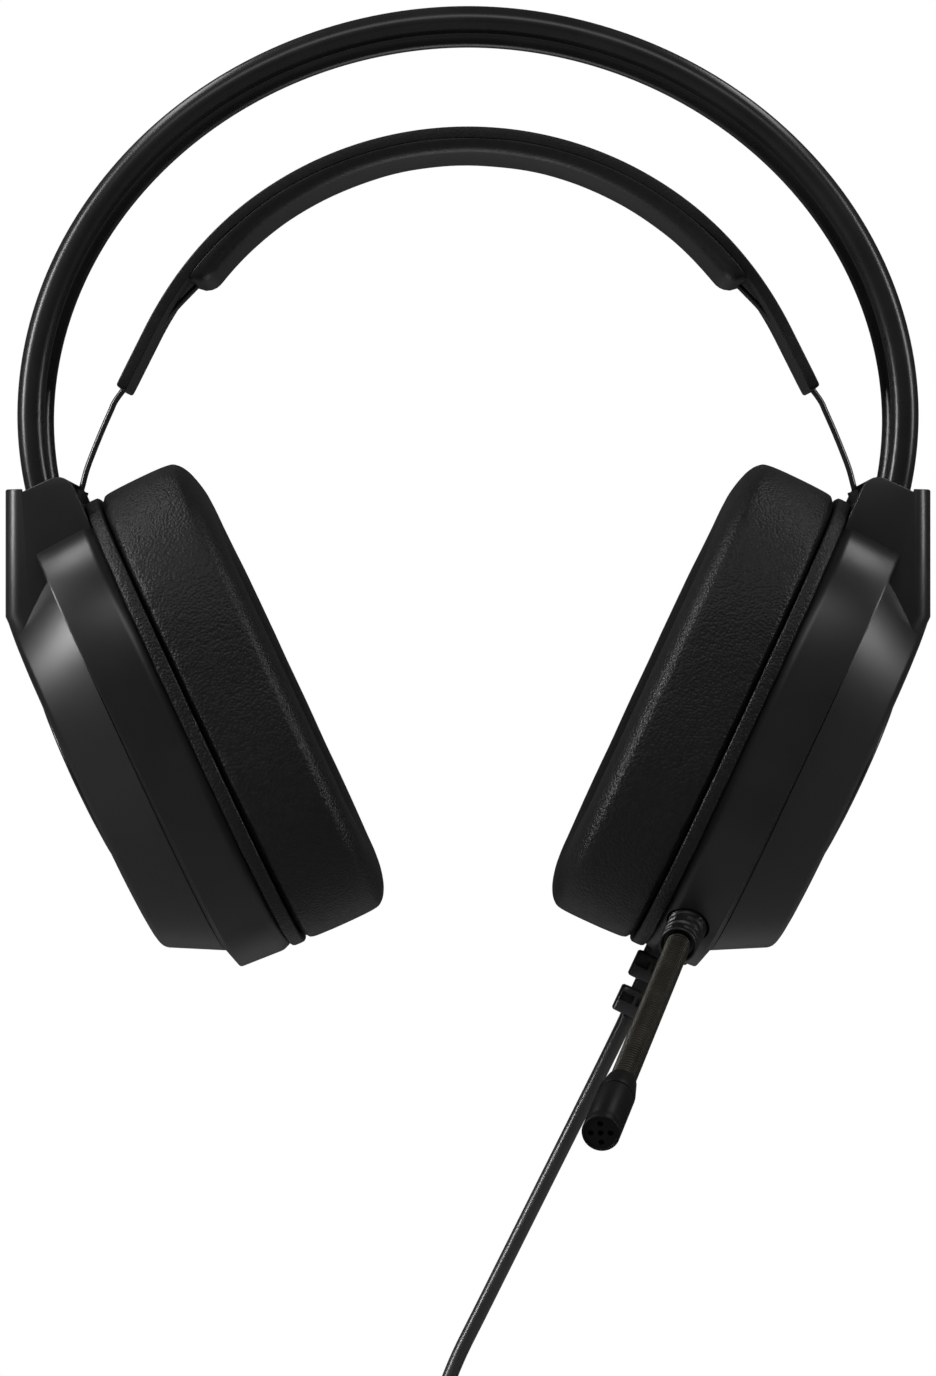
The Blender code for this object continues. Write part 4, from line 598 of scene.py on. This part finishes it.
frameRight = drawCupFrame()
frameRight.name = "cupFrameRight"
pick(frameRight)
bpy.ops.object.duplicate()
frameLeft = bpy.context.object
frameLeft.name = "cupFrameLeft"
boomAlong = (Vector(joints["mic_yaw"]["pos_m"]) - Vector(joints["mic_pitch"]["pos_m"])).normalized()
boomRoot = 24.85  # from the boom's start to its first hinge
boomStart = Vector(joints["mic_pitch"]["pos_m"]) - boomAlong * boomRoot * mm
boot = {
    "mouthAt": 7.4, "mouth": 4.05, "hollow": 3.45, "floor": 6.3, "base": 4.4, "hole": 4.75, "bendAt": 4.64,
    "bend": Vector((1.02, 0.0, 1.87)), "slot": 0.8, "slotHalf": 0.26, "slotFrom": 3.6, "slotFade": 5,
    "spans": {"side": (18, 150), "top": (58, 128)},
    "rows": ((6.3, "side"), (5.2, "top"), (4.1, "side"), (3.0, "top"), (1.9, "side"), (0.8, "top"))}
bootMouth = boomStart + boomAlong * boot["mouthAt"] * mm
bootBack = bootMouth + (boot["bend"] - boomAlong * boot["bendAt"]) * mm
bootOut = turnBack((bootMouth - bootBack).normalized())
backInCup = cupPlace.inverted() @ bootBack / mm
bootFrom = backInCup - bootOut * cuts["bootBehind"]
carve(frameLeft, rodTool(bootFrom, bootOut, cuts["bootDepth"], boot["hole"], 48))
carve(frameLeft, blockTool(cuts["reliefLow"], cuts["reliefHigh"]))
wheelSpot = cupPlace.inverted() @ Vector(joints["volume_turn"]["pos_m"]) / mm
wheelRoom = wheelSpot - Vector((cuts["wheelBack"], 0, 0))
carve(frameLeft, rodTool(wheelRoom, (1, 0, 0), cuts["wheelDepth"], cuts["wheelRadius"], 48))
for piece in (frameLeft, frameRight):
    piece.data.transform(cupPlace)
    cleanMesh(piece, 32)
mirrorMesh(frameRight)
dress(frameLeft, satinBlack, "frame", ("cup_frame_left",))
dress(frameRight, satinBlack, "frame", ("cup_frame_right",))
print("cup frames made")


def bothSides(piece, base, finish):
    # seats a cup piece on the left, and its copy on the right
    piece.data.transform(cupPlace)
    piece.name = base + "Left"
    other = copyAcross(piece, base + "Right")
    node = "".join("_" + letter.lower() if letter.isupper() else letter for letter in base)
    dress(piece, finish, "frame", (node + "_left",))
    dress(other, finish, "frame", (node + "_right",))
    return piece, other


cover = drawCupStack("outerCover", coverProfile, "dome")
bothSides(cover, "outerCover", coverBlack)
capProfile = [
    (27.75, 20.0), (27.75, 20.2), (28.35, 20.3), (28.55, 20.22), (28.68, 19.95), (28.85, 18.6),
    (29.15, 15.0), (29.42, 10.5), (29.58, 6.0), (29.64, 2.0)]
cap = drawStack("coverCap", roundStops(capProfile), 96, 2.0, "dome")
bothSides(cap, "coverCap", glossBlack)
print("covers made")

# cushions: a crowned ring of leather over foam, puckered where it is drawn in at the back
cushion = {
    "backW": -1.7, "depth": 20.8, "width": 22.4, "overhang": 0.9, "lift": 0.65, "around": 192, "steps": 6,
    "swell": ((70, 0.16), (160, 0.07)), "puckerScale": (60, 330, 330), "pucker": 0.32, "puckerReach": 7,
    "edgeReach": 1.2,
    "profile": (
        (0.0, 0.085), (0.03, 0.045), (0.1, 0.012), (0.42, 0.0), (0.76, 0.004), (0.87, 0.045), (0.945, 0.15),
        (0.985, 0.28), (1.0, 0.42), (0.985, 0.6), (0.93, 0.78), (0.83, 0.9), (0.7, 0.955), (0.35, 1.0),
        (0.0, 0.97))}


def drawCushion():
    spots = [Vector(pair).to_3d() for pair in cushion["profile"]]
    section = smoothRoute(spots, cushion["steps"])
    loops = []
    for k in range(cushion["around"]):
        turn = math.tau * k / cushion["around"]
        loop = []
        for spot in section:
            deep = clamp(spot.x)
            w = cushion["backW"] - cushion["depth"] * deep
            inset = cushion["width"] * spot.y - cushion["overhang"]
            loop.append(ovalPoint(w, inset, turn) + Vector((0, 0, cushion["lift"])) * mm)
        loops.append(loop)
    piece = weaveLoops("earCushion", loops, ring=True)
    cleanMesh(piece, 80)
    for vertex in piece.data.vertices:
        co = vertex.co
        deep = cushion["backW"] * mm - co.x
        back = max(0.0, 1 - deep / (cushion["puckerReach"] * mm))
        swell = sum(noise.noise(co * scale) * height for scale, height in cushion["swell"])
        fold = Vector([part * scale for part, scale in zip(co, cushion["puckerScale"])])
        pucker = noise.noise(fold) * cushion["pucker"] * back ** 1.5
        edge = min(1.0, deep / (cushion["edgeReach"] * mm))
        vertex.co = co + vertex.normal * (swell + pucker) * mm * max(0.0, edge)
    return piece


cushionPiece = drawCushion()
for piece in bothSides(cushionPiece, "earCushion", blackLeather):
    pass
skirtProfile = [
    (-1.3, 1.6), (-1.3, -0.1), (-1.22, -0.55), (-1.0, -0.75), (-0.3, -0.8), (1.0, -0.75), (1.45, -0.55),
    (1.68, -0.1), (1.68, 0.9), (1.3, 1.6), (-1.3, 1.6)]
skirtRipple = {"scale": 420, "depth": 0.1, "from": 0.5}
skirt = drawCupStack("cushionSkirt", skirtProfile, "ring")
for vertex in skirt.data.vertices:
    ripple = noise.noise(vertex.co * skirtRipple["scale"]) * skirtRipple["depth"]
    vertex.co.z += cushion["lift"] * mm
    if vertex.co.x > skirtRipple["from"] * mm:
        vertex.co.x += ripple * mm
for piece in bothSides(skirt, "cushionSkirt", blackLeather):
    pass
screenProfile = [(-1.02, 14.0), (-1.3, 14.1), (-1.4, 16.0), (-1.45, 24.0), (-1.45, 36.0)]
screen = drawCupStack("dustScreen", screenProfile, "dome")
for piece in bothSides(screen, "dustScreen", dustCloth):
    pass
print("cushions made")

# arch tubes
arch = {"half": 93.95, "rise": 85.0, "z": -55.3, "power": 1.97, "drop": 15.4, "radius": 3.0, "socket": 10.2}


def archPoints(y):
    start = -math.asin((arch["drop"] / arch["rise"]) ** (arch["power"] / 2))
    bend = 2 / arch["power"]
    points = []
    for k in range(161):
        angle = start + (math.pi - 2 * start) * k / 160
        c = math.cos(angle)
        s = math.sin(angle)
        x = math.copysign(arch["half"] * abs(c) ** bend, c)
        z = arch["z"] + math.copysign(arch["rise"] * abs(s) ** bend, s)
        points.append(Vector((x, y, z)) * mm)
    reach = arch["socket"] * mm
    first = points[0] + (points[0] - points[1]).normalized() * reach
    last = points[-1] + (points[-1] - points[-2]).normalized() * reach
    return [first, *points, last]


for name, node, y in (("archTubeFront", "arch_tube_front", -16.0), ("archTubeRear", "arch_tube_rear", 16.0)):
    tube = meshTube(name, archPoints(y), arch["radius"] * mm, 14)
    dress(tube, tubeBlack, "frame", (node,))
print("arch made")

# headband: a strap that hides the wires' sleeves, and the pad under it
band = {
    "radius": 77.8, "topZ": 6.5, "thick": 2.4, "half": 63.4, "tail": 13.9, "padHalf": 53.0,
    "padRadius": 68.7, "padCrown": 1.4, "padRound": 5.0, "padEdge": 2.8, "padSeam": 0.25, "middle": 40.0,
    "end": 32.0, "endRound": 0.6, "edge": 0.3, "taper": 3.0, "taperIn": 1.0, "padSwellScale": 90,
    "padSwell": 0.12, "slotReach": (6.0, 8.0, 10.0, 12.0),
    "slotSection": ((1.1, 1.0), (1.1, 3.4), (-1.1, 3.4), (-1.1, 1.0))}
bandArc = band["radius"] * math.radians(band["half"])
padEnd = band["radius"] * math.radians(band["padHalf"])
strapReach = bandArc + band["tail"]


def bandPoint(along, depth, y=0.0):
    angle = max(-bandArc, min(bandArc, along)) / band["radius"]
    out = Vector((math.sin(angle), 0, math.cos(angle)))
    run = Vector((math.cos(angle), 0, -math.sin(angle)))
    extra = max(0.0, abs(along) - bandArc) * (1 if along > 0 else -1)
    centre = Vector((0, y, band["topZ"] - band["radius"]))
    return (centre + out * (band["radius"] - depth) + run * extra) * mm


def bandHalf(along):
    share = clamp((abs(along) - 0.7 * padEnd) / (bandArc - 0.7 * padEnd))
    share = share * share * (3 - 2 * share)
    return (band["middle"] + (band["end"] - band["middle"]) * share) / 2


def roundedStrip(half, top, low, corner, steps=4):
    # an upright strip's outline with round edges: (y, depth)
    points = []
    for sy, sd, first in ((1, -1, 0), (1, 1, 1), (-1, 1, 2), (-1, -1, 3)):
        for k in range(steps + 1):
            bend = math.pi / 2 * (first + k / steps) - math.pi / 2
            y = sy * (half - corner) + corner * math.cos(bend)
            middle = top + corner if sd < 0 else low - corner
            points.append((y, middle + corner * math.sin(bend)))
    fine = []
    for k, (y, depth) in enumerate(points):
        fine.append((y, depth))
        nextY, nextDepth = points[(k + 1) % len(points)]
        if abs(nextY - y) > half:
            for j in range(1, 24):
                fine.append((y + (nextY - y) * j / 24, depth + (nextDepth - depth) * j / 24))
    return fine


def drawBand(name, stations, outlineAt):
    loops = [[bandPoint(along, depth, y) for y, depth in outlineAt(along)] for along in stations]
    piece = weaveLoops(name, loops)
    cleanMesh(piece, 60)
    return piece


def strapOutline(along):
    past = clamp((abs(along) - strapReach + band["taper"]) / band["taper"])
    near = max(0.0, 1 - (strapReach - abs(along)) / band["endRound"])
    draw = band["endRound"] * (1 - math.sqrt(max(0.0, 1 - near * near)))
    half = bandHalf(along) - band["taperIn"] * past ** 2 - draw
    return roundedStrip(half, 0.8 * draw, band["thick"] - 0.8 * draw, band["edge"])


strapInner = strapReach - band["endRound"]
strapStations = [strapInner * (2 * k / 150 - 1) for k in range(151)]
for share in (0.35, 0.65, 0.88, 1.0):
    tip = strapInner + band["endRound"] * share
    strapStations = [-tip, *strapStations, tip]
strap = drawBand("headbandStrap", strapStations, strapOutline)
for side in (-1, 1):
    # the slot where a wire goes into the strap
    slotStations = [side * (padEnd + reach) for reach in band["slotReach"]]
    carve(strap, drawBand("slotTool", slotStations, lambda along: band["slotSection"]))
cleanMesh(strap, 60)
hidden = ("headband_strap", "strap_sleeve_left", "strap_sleeve_right")
dress(strap, strapLeather, "headband", hidden)


def padDepth(angle):
    offset = band["radius"] - band["topZ"] - band["padRadius"]
    reach = math.sqrt(band["padRadius"] ** 2 - (offset * math.sin(angle)) ** 2)
    return band["radius"] - (offset * math.cos(angle) + reach)


def padOutline(along):
    # flat against the strap, with round lower edges and a crowned underside
    flat = padEnd - band["padRound"]
    past = clamp((abs(along) - flat) / band["padRound"])
    share = math.sqrt(max(0.0, 1 - past ** 2.4))
    top = band["thick"] + 0.02
    thick = max(0.25, (padDepth(along / band["radius"]) - top) * share)
    half = band["middle"] / 2 - band["padRound"] * (1 - share) * 0.9
    body = max(0.2, thick - band["padCrown"] * share)
    points = []
    for k, (side, level) in enumerate(((1, 1), (-1, 1), (-1, -1), (1, -1))):
        corner = min(band["padEdge"], 0.9 * body) if level > 0 else min(band["padSeam"], 0.2 * body)
        middle = top + body - corner if level > 0 else top + corner
        for j in range(9):
            bend = math.pi / 2 * (k + j / 8)
            y = side * (half - corner) + corner * math.cos(bend)
            points.append((y, middle + corner * math.sin(bend)))
        if k in (0, 2):
            y, depth = points[-1]
            points += [(y * (1 - j / 12), depth) for j in range(1, 24)]
    crowned = []
    for y, depth in points:
        deep = clamp((depth - top) / body)
        crowned.append((y, depth + band["padCrown"] * share * (1 - (y / half) ** 2) * deep))
    return crowned


padStations = []
for k in range(121):
    share = 2 * k / 120 - 1
    padStations.append(padEnd * math.copysign(abs(share) ** 0.85, share))
pad = drawBand("headbandPad", padStations, padOutline)
for vertex in pad.data.vertices:
    co = vertex.co.copy()
    vertex.co = co + vertex.normal * noise.noise(co * band["padSwellScale"]) * band["padSwell"] * mm
dress(pad, strapLeather, "headband", ("headband_pad",))
print("headband made")

# suspension wires, from the pad's ends through the strap into the brackets
wire = {
    "radius": 0.65, "entry": (2.0, 0, 56.6), "inside": (5.8, 0, 52.7),
    "free": ((76.6, -51.5), (77.6, -53.6), (79.5, -57.9), (81.3, -62.3), (82.9, -66.6))}
wireKnots = [
    bandPoint(padEnd - 4.0, 4.2), bandPoint(padEnd + 1.0, 3.7), bandPoint(padEnd + 6.0, 2.9),
    bandPoint(padEnd + 12.5, 1.7), bandPoint(bandArc + 4.0, 1.3), bandPoint(strapReach - 2.0, 1.1)]
wireKnots += [Vector((x, 0, z)) * mm for x, z in wire["free"]]
wireEntry = cupPlace @ (Vector(wire["entry"]) * mm)
wireInside = cupPlace @ (Vector(wire["inside"]) * mm)
wireKnots += [wireEntry, wireInside]
wireLeft = meshTube("suspensionWireLeft", smoothRoute(wireKnots, 8), wire["radius"] * mm, 4)
wireRight = copyAcross(wireLeft, "suspensionWireRight")
for piece, side, node in ((wireLeft, 1, "suspension_wire_left"), (wireRight, -1, "suspension_wire_right")):
    dress(piece, wireBlack, None, (node,))
    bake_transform(piece)
print("wires made")

# microphone, drawn along X and turned into place: slotted boot, ribbed neck, collar, housing, pierced end cap
mic = {
    "neck": 2.7, "groove": 0.55, "ribPitch": 1.2, "root": 3.0, "split": 42.0, "end": 86.3, "radius": 3.9,
    "slitAt": 70.0, "slitFrom": 91.5, "slitLength": 5.8, "slit": 0.27, "holePitch": 2.0, "holeFrom": 108.4,
    "holeDepth": 3.0, "hole": 0.6}
across = -Vector(joints["mic_pitch"]["axis"]).normalized()
third = boomAlong.cross(across)
boomPlace = Matrix.Translation(boomStart) @ Matrix((boomAlong, across, third)).transposed().to_4x4()
upAngle = math.atan2(third.z, across.z)


def slotDip(along, turn):
    # the boot's slots run round it in turns: two at the sides, then two at the top and the bottom
    turn = abs(math.degrees(math.remainder(turn - upAngle, math.tau)))
    for row, kind in boot["rows"]:
        if abs(along - row) < boot["slotHalf"]:
            low, high = boot["spans"][kind]
            inside = min(turn - low, high - turn) if kind == "side" else max(low - turn, turn - high)
            return boot["slot"] * clamp(inside / boot["slotFade"])
    return 0.0


bootStops = []
for k in range(121):
    along = -4.0 + (boot["mouthAt"] + 4.0) * k / 120
    share = (along + 1.0) / (boot["mouthAt"] + 1.0)
    bootStops.append((along, boot["base"] + (boot["mouth"] - boot["base"]) * clamp(share)))
bootStops[-1] = (boot["mouthAt"] - 0.02, boot["mouth"] - 0.06)
bootStops += [
    (boot["mouthAt"] + 0.12, boot["mouth"] - 0.2), (boot["mouthAt"] + 0.12, boot["hollow"] + 0.15),
    (boot["mouthAt"] - 0.1, boot["hollow"]), (boot["floor"], boot["hollow"] - 0.15)]
bootPiece = drawStack("micBoot", roundStops(bootStops), 96)
for vertex in bootPiece.data.vertices:
    co = vertex.co.copy()
    reach = math.hypot(co.y, co.z)
    if reach > boot["slotFrom"] * mm:
        dip = slotDip(co.x / mm, math.atan2(co.z, co.y)) * mm
        co = Vector((co.x, co.y * (1 - dip / reach), co.z * (1 - dip / reach)))
    back = max(0.0, (boot["mouthAt"] - co.x / mm) / boot["bendAt"])
    vertex.co = boomPlace @ co + boot["bend"] * mm * back * back
dress(bootPiece, blackRubber, "frame", ("mic_boot",))


def drawNeck(name, start, end):
    # one rib, set out along the neck by an array
    count = round((end - start) / mic["ribPitch"])
    pitch = (end - start) / count
    low = mic["neck"] - mic["groove"]
    rib = [
        (0.0, low), (0.26, low), (0.32, mic["neck"] - 0.14), (0.42, mic["neck"] - 0.03), (0.63, mic["neck"]),
        (0.84, mic["neck"] - 0.03), (0.94, mic["neck"] - 0.14), (1.0, low)]
    stops = [(start + pitch * share, radius) for share, radius in rib]
    piece = drawStack(name, roundStops(stops), 32, ends="ring")
    pick(piece)
    bpy.ops.object.modifier_add(type="ARRAY")
    row = piece.modifiers[-1]
    row.count = count
    row.use_relative_offset = False
    row.use_constant_offset = True
    row.constant_offset_displace = (pitch * mm, 0, 0)
    row.use_merge_vertices = True
    row.merge_threshold = 0.002 * mm
    bpy.ops.object.modifier_apply(modifier=row.name)
    bpy.ops.object.mode_set(mode="EDIT")
    bpy.ops.mesh.select_all(action="SELECT")
    bpy.ops.mesh.fill_holes(sides=0)
    bpy.ops.object.mode_set(mode="OBJECT")
    cleanMesh(piece, 60)
    piece.data.transform(boomPlace)
    return piece


neckBase = drawNeck("gooseneckBase", mic["root"], mic["split"])
neckTip = drawNeck("gooseneckTip", mic["split"] + 0.05, mic["end"])
dress(neckBase, neckMetal, None, ("gooseneck_base",))
dress(neckTip, neckMetal, None, ("gooseneck_tip",))


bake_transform(neckBase)
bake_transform(neckTip)
collarProfile = [
    (83.5, 2.6), (83.5, 2.95), (83.65, 3.1), (84.0, 3.2), (88.9, 3.8), (89.9, 3.9), (91.2, 3.9),
    (91.35, 3.82), (91.35, 3.1)]
collar = drawStack("micCollar", roundStops(collarProfile), 64)
housingProfile = [
    (91.3, 3.1), (91.9, 3.1), (91.9, 3.8), (92.02, 3.9), (106.9, 3.9), (106.98, 3.85), (106.98, 3.4)]
housing = drawStack("micHousing", roundStops(housingProfile), 64)
facing = math.atan2(-third.y, -across.y)
for side in (-1, 1):
    turn = facing + side * math.radians(mic["slitAt"])
    spot = (mic["slitFrom"], mic["radius"] * math.cos(turn), mic["radius"] * math.sin(turn))
    carve(housing, rodTool(spot, (1, 0, 0), mic["slitLength"], mic["slit"], 12))
endProfile = [
    (106.98, 3.3), (107.0, 3.85), (107.06, 3.9), (109.3, 3.9), (109.5, 3.84), (109.64, 3.72), (109.7, 3.58),
    (109.7, 3.4), (109.62, 3.3), (109.48, 3.26)]
endCap = drawStack("micEndCap", roundStops(endProfile), 64)
upright = Vector((0, math.cos(upAngle), math.sin(upAngle)))
level = Vector((0, -math.sin(upAngle), math.cos(upAngle)))
for offset in (upright * 0, upright, -upright, level, -level):
    holeStart = Vector((mic["holeFrom"], 0, 0)) + offset * mic["holePitch"]
    carve(endCap, rodTool(holeStart, (1, 0, 0), mic["holeDepth"], mic["hole"], 20))
for piece, node in ((collar, "mic_collar"), (housing, "mic_housing"), (endCap, "mic_end_cap")):
    cleanMesh(piece, 35)
    piece.data.transform(boomPlace)
    dress(piece, micBlack, "mic_head", (node,))
print("microphone made")

# strain relief, drawn along X and turned to leave the left cup's lowest point
reliefPlace = cupPlace @ Matrix.Translation(Vector((5.2, 0, -52.2)) * mm)
hang = Matrix(((0, 0, 1, 0), (0, 1, 0, 0), (-1, 0, 0, 0), (0, 0, 0, 1)))
reliefPlace = reliefPlace @ hang
reliefStops = [(-2.0, 2.6, 2.8), (1.0, 2.6, 2.8)]
reliefBlocks = (1.1, 9.3)
for low in reliefBlocks:
    reliefStops += [
        (low, 2.6, 3.5), (low + 0.2, 2.85, 3.8), (low + 0.45, 2.95, 3.9), (low + 5.45, 2.95, 3.9),
        (low + 5.7, 2.85, 3.8), (low + 5.9, 2.6, 3.5), (low + 5.95, 1.9, 1.85), (low + 8.1, 1.9, 1.85)]
reliefStops[-1] = (15.25, 1.7, 1.7)
reliefStops.append((13.0, 1.65, 1.65))
relief = drawStack("strainRelief", ovalStops(reliefStops), 64, 6.0)
for low in reliefBlocks:
    for y in (-1, 1):
        for z in (-1, 1):
            # a pocket in each quarter of the block
            corner = sorted((y * 0.9, y * 4.0)), sorted((z * 0.4, z * 3.3))
            carve(relief, blockTool(
                (low + 1.4, corner[0][0], corner[1][0]), (low + 3.3, corner[0][1], corner[1][1])))
cleanMesh(relief, 35)
relief.data.transform(reliefPlace)
dress(relief, cableBlack, "frame", ("strain_relief",))

# volume wheel: a disc with a ridged rim
wheelProfile = [(0.0, 6.9), (0.15, 7.3), (0.45, 7.5), (1.95, 7.5), (2.25, 7.3), (2.4, 6.9)]
wheelRim = {"ridges": 32, "dip": 0.4, "from": 6.5}
wheel = drawStack("volumeWheel", roundStops(wheelProfile), 128)
for vertex in wheel.data.vertices:
    turn = math.atan2(vertex.co.z, vertex.co.y)
    dip = max(0.0, math.sin(turn * wheelRim["ridges"])) * wheelRim["dip"] * mm
    reach = math.hypot(vertex.co.y, vertex.co.z)
    if reach > wheelRim["from"] * mm:
        vertex.co.y *= 1 - dip / reach
        vertex.co.z *= 1 - dip / reach
wheel.data.transform(cupPlace @ Matrix.Translation(wheelSpot * mm))
dress(wheel, satinBlack, "volume_wheel", ("volume_wheel",))
print("relief and wheel made")

# coil tie and plug
tieLow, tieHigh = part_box("coil_tie")
tieMiddle = (Vector(tieLow) + Vector(tieHigh)) / 2
tieSize = (Vector(tieHigh) - Vector(tieLow)) / 2
tieStops = []
for share, inner in ((-1, 0.0), (-0.9, -0.25), (0.9, -0.25), (1, 0.0), (1, 0.9), (-1, 0.9), (-1, 0.0)):
    tieStops.append((share * tieSize.z, tieSize.y - (inner + 0.25) * mm, tieSize.x - (inner + 0.25) * mm))
tie = drawStack("coilTie", tieStops, 96, 6.0, "ring")
tie.data.transform(Matrix.Translation(tieMiddle) @ hang)
dress(tie, strapLeather, "frame", ("coil_tie",))
plugLow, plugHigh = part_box("plug_body")
plugTop = Vector(((plugLow[0] + plugHigh[0]) / 2, (plugLow[1] + plugHigh[1]) / 2, plugHigh[2]))
plugPlace = Matrix.Translation(plugTop) @ hang
plugStops = [(0.0, 1.9, 1.9), (0.0, 2.1, 2.1)]
for low in (0.9, 2.7, 4.5):
    plugStops += [(low, 2.2, 2.2), (low + 0.1, 1.8, 1.8), (low + 0.8, 1.8, 1.8), (low + 0.9, 2.35, 2.35)]
plugStops += [
    (7.0, 2.5, 2.5), (7.4, 4.8, 3.0), (8.2, 6.9, 3.5), (9.6, 7.7, 3.85), (11.0, 8.0, 4.0), (25.6, 8.0, 4.0),
    (26.6, 7.85, 3.85), (27.0, 7.4, 3.4)]
plug = drawStack("plugBody", ovalStops(plugStops), 64, 5.0)
carve(plug, blockTool((25.5, -6.3, -2.55), (30.0, 6.3, 2.55)))
for k in range(4):
    for side in (-1, 1):
        low = 15.0 + 2.0 * k
        carve(plug, blockTool((low, -4.5, side * 4.0 - 0.35), (low + 0.9, 4.5, side * 4.0 + 0.35)))
cleanMesh(plug, 35)
plug.data.transform(plugPlace)
dress(plug, blackRubber, "frame", ("plug_body",))
shellStops = [
    (25.8, 6.0, 2.25), (38.6, 6.0, 2.25), (39.0, 5.85, 2.1), (39.0, 5.7, 1.95), (25.8, 5.7, 1.95),
    (25.8, 6.0, 2.25)]
shell = drawStack("plugShell", ovalStops(shellStops), 96, 9.0, "ring")
for y in (-2.9, 2.9):
    carve(shell, blockTool((31.5, y - 1.1, -4.0), (33.9, y + 1.1, 4.0)))
cleanMesh(shell, 35)
shell.data.transform(plugPlace)
dress(shell, plainSteel, "frame", ("plug_shell",))
print("tie and plug made")

# finishes of the CAD pieces that stay
kept = {
    "baffle_plate": innerPlastic, "driver_basket": plainSteel, "driver_magnet": ferrite,
    "driver_diaphragm": driverFilm, "wire_bush": innerPlastic, "elastic_band": blackRubber}
for base, finish in kept.items():
    for side in ("_left", "_right"):
        dress(nodes[base + side], finish)
for side in ("left", "right"):
    for k in range(1, 5):
        dress(nodes[f"baffle_screw_{side}_{k}"], plainSteel)
for name, finish in (
        ("mic_capsule", plainSteel), ("volume_pot", innerPlastic), ("sound_board", boardGreen),
        ("plug_tongue", innerPlastic)):
    dress(nodes[name], finish)

# floor, background and soft light
studio = {"floorRadius": 1.0, "floorZ": -0.39, "ambient": 0.05}
bpy.ops.object.select_all(action="DESELECT")
bpy.ops.mesh.primitive_circle_add(
    vertices=96, radius=studio["floorRadius"], fill_type="NGON", location=(0, 0, studio["floorZ"]))
floor = bpy.context.object
floor.name = "studioFloor"
floorLook = {
    "dark": grey(0.62), "light": grey(0.66), "cloud": 3.0, "rough": (0.6, 0.7), "grain": 400.0,
    "bump": 0.02, "depth": 0.05}
dress(floor, mouldFinish("paleFloor", floorLook))

world = bpy.data.worlds.new("studio")
bpy.context.scene.world = world
world.use_nodes = True
sky = world.node_tree
backdrop = sky.nodes["Background"]
backdrop.inputs["Color"].default_value = (1.0, 1.0, 1.0, 1.0)
backdrop.inputs["Strength"].default_value = studio["ambient"]
white = addNode(sky, "ShaderNodeBackground", {"Color": (1.0, 1.0, 1.0, 1.0), "Strength": 1.0})
sight = addNode(sky, "ShaderNodeLightPath")
choose = addNode(sky, "ShaderNodeMixShader")
joinNodes(
    sky, (sight, "Is Camera Ray", choose, "Fac"), (backdrop, "Background", choose, 1),
    (white, "Background", choose, 2), (choose, "Shader", sky.nodes["World Output"], "Surface"))

lamps = (
    {
        "name": "topLeft", "place": (-0.36, 0.06, 0.42), "aim": (-0.09, 0, -0.08), "size": (0.34, 0.11),
        "spread": 180, "power": 1.0},
    {
        "name": "topRight", "place": (0.36, 0.06, 0.42), "aim": (0.09, 0, -0.08), "size": (0.34, 0.11),
        "spread": 180, "power": 0.74},
    {
        "name": "leftBox", "place": (-0.6, -0.22, 0.23), "aim": (0, 0, 0.1), "size": (0.1, 0.7),
        "spread": 70, "power": 1.1},
    {
        "name": "rightBox", "place": (0.6, -0.22, 0.23), "aim": (0, 0, 0.1), "size": (0.1, 0.7),
        "spread": 70, "power": 0.5},
    {
        "name": "lowBox", "place": (0.0, 0.05, -0.13), "aim": (0, 0.03, 0), "size": (0.05, 0.12),
        "spread": 90, "power": 0.014},
    {
        "name": "frontFill", "place": (0.0, -1.6, 1.0), "aim": (0, 0, -0.1), "size": (1.6, 0.5),
        "spread": 180, "power": 8.5})
for lamp in lamps:
    bpy.ops.object.light_add(type="AREA", location=lamp["place"])
    light = bpy.context.object
    light.name = lamp["name"]
    light.data.shape = "RECTANGLE"
    light.data.size, light.data.size_y = lamp["size"]
    light.data.spread = math.radians(lamp["spread"])
    light.data.energy = lamp["power"]
    light.visible_camera = False
    aim = Vector(lamp["aim"]) - Vector(lamp["place"])
    light.rotation_euler = aim.to_track_quat("-Z", "Y").to_euler()
bpy.context.scene.view_settings.view_transform = "Standard"
print("stage set")
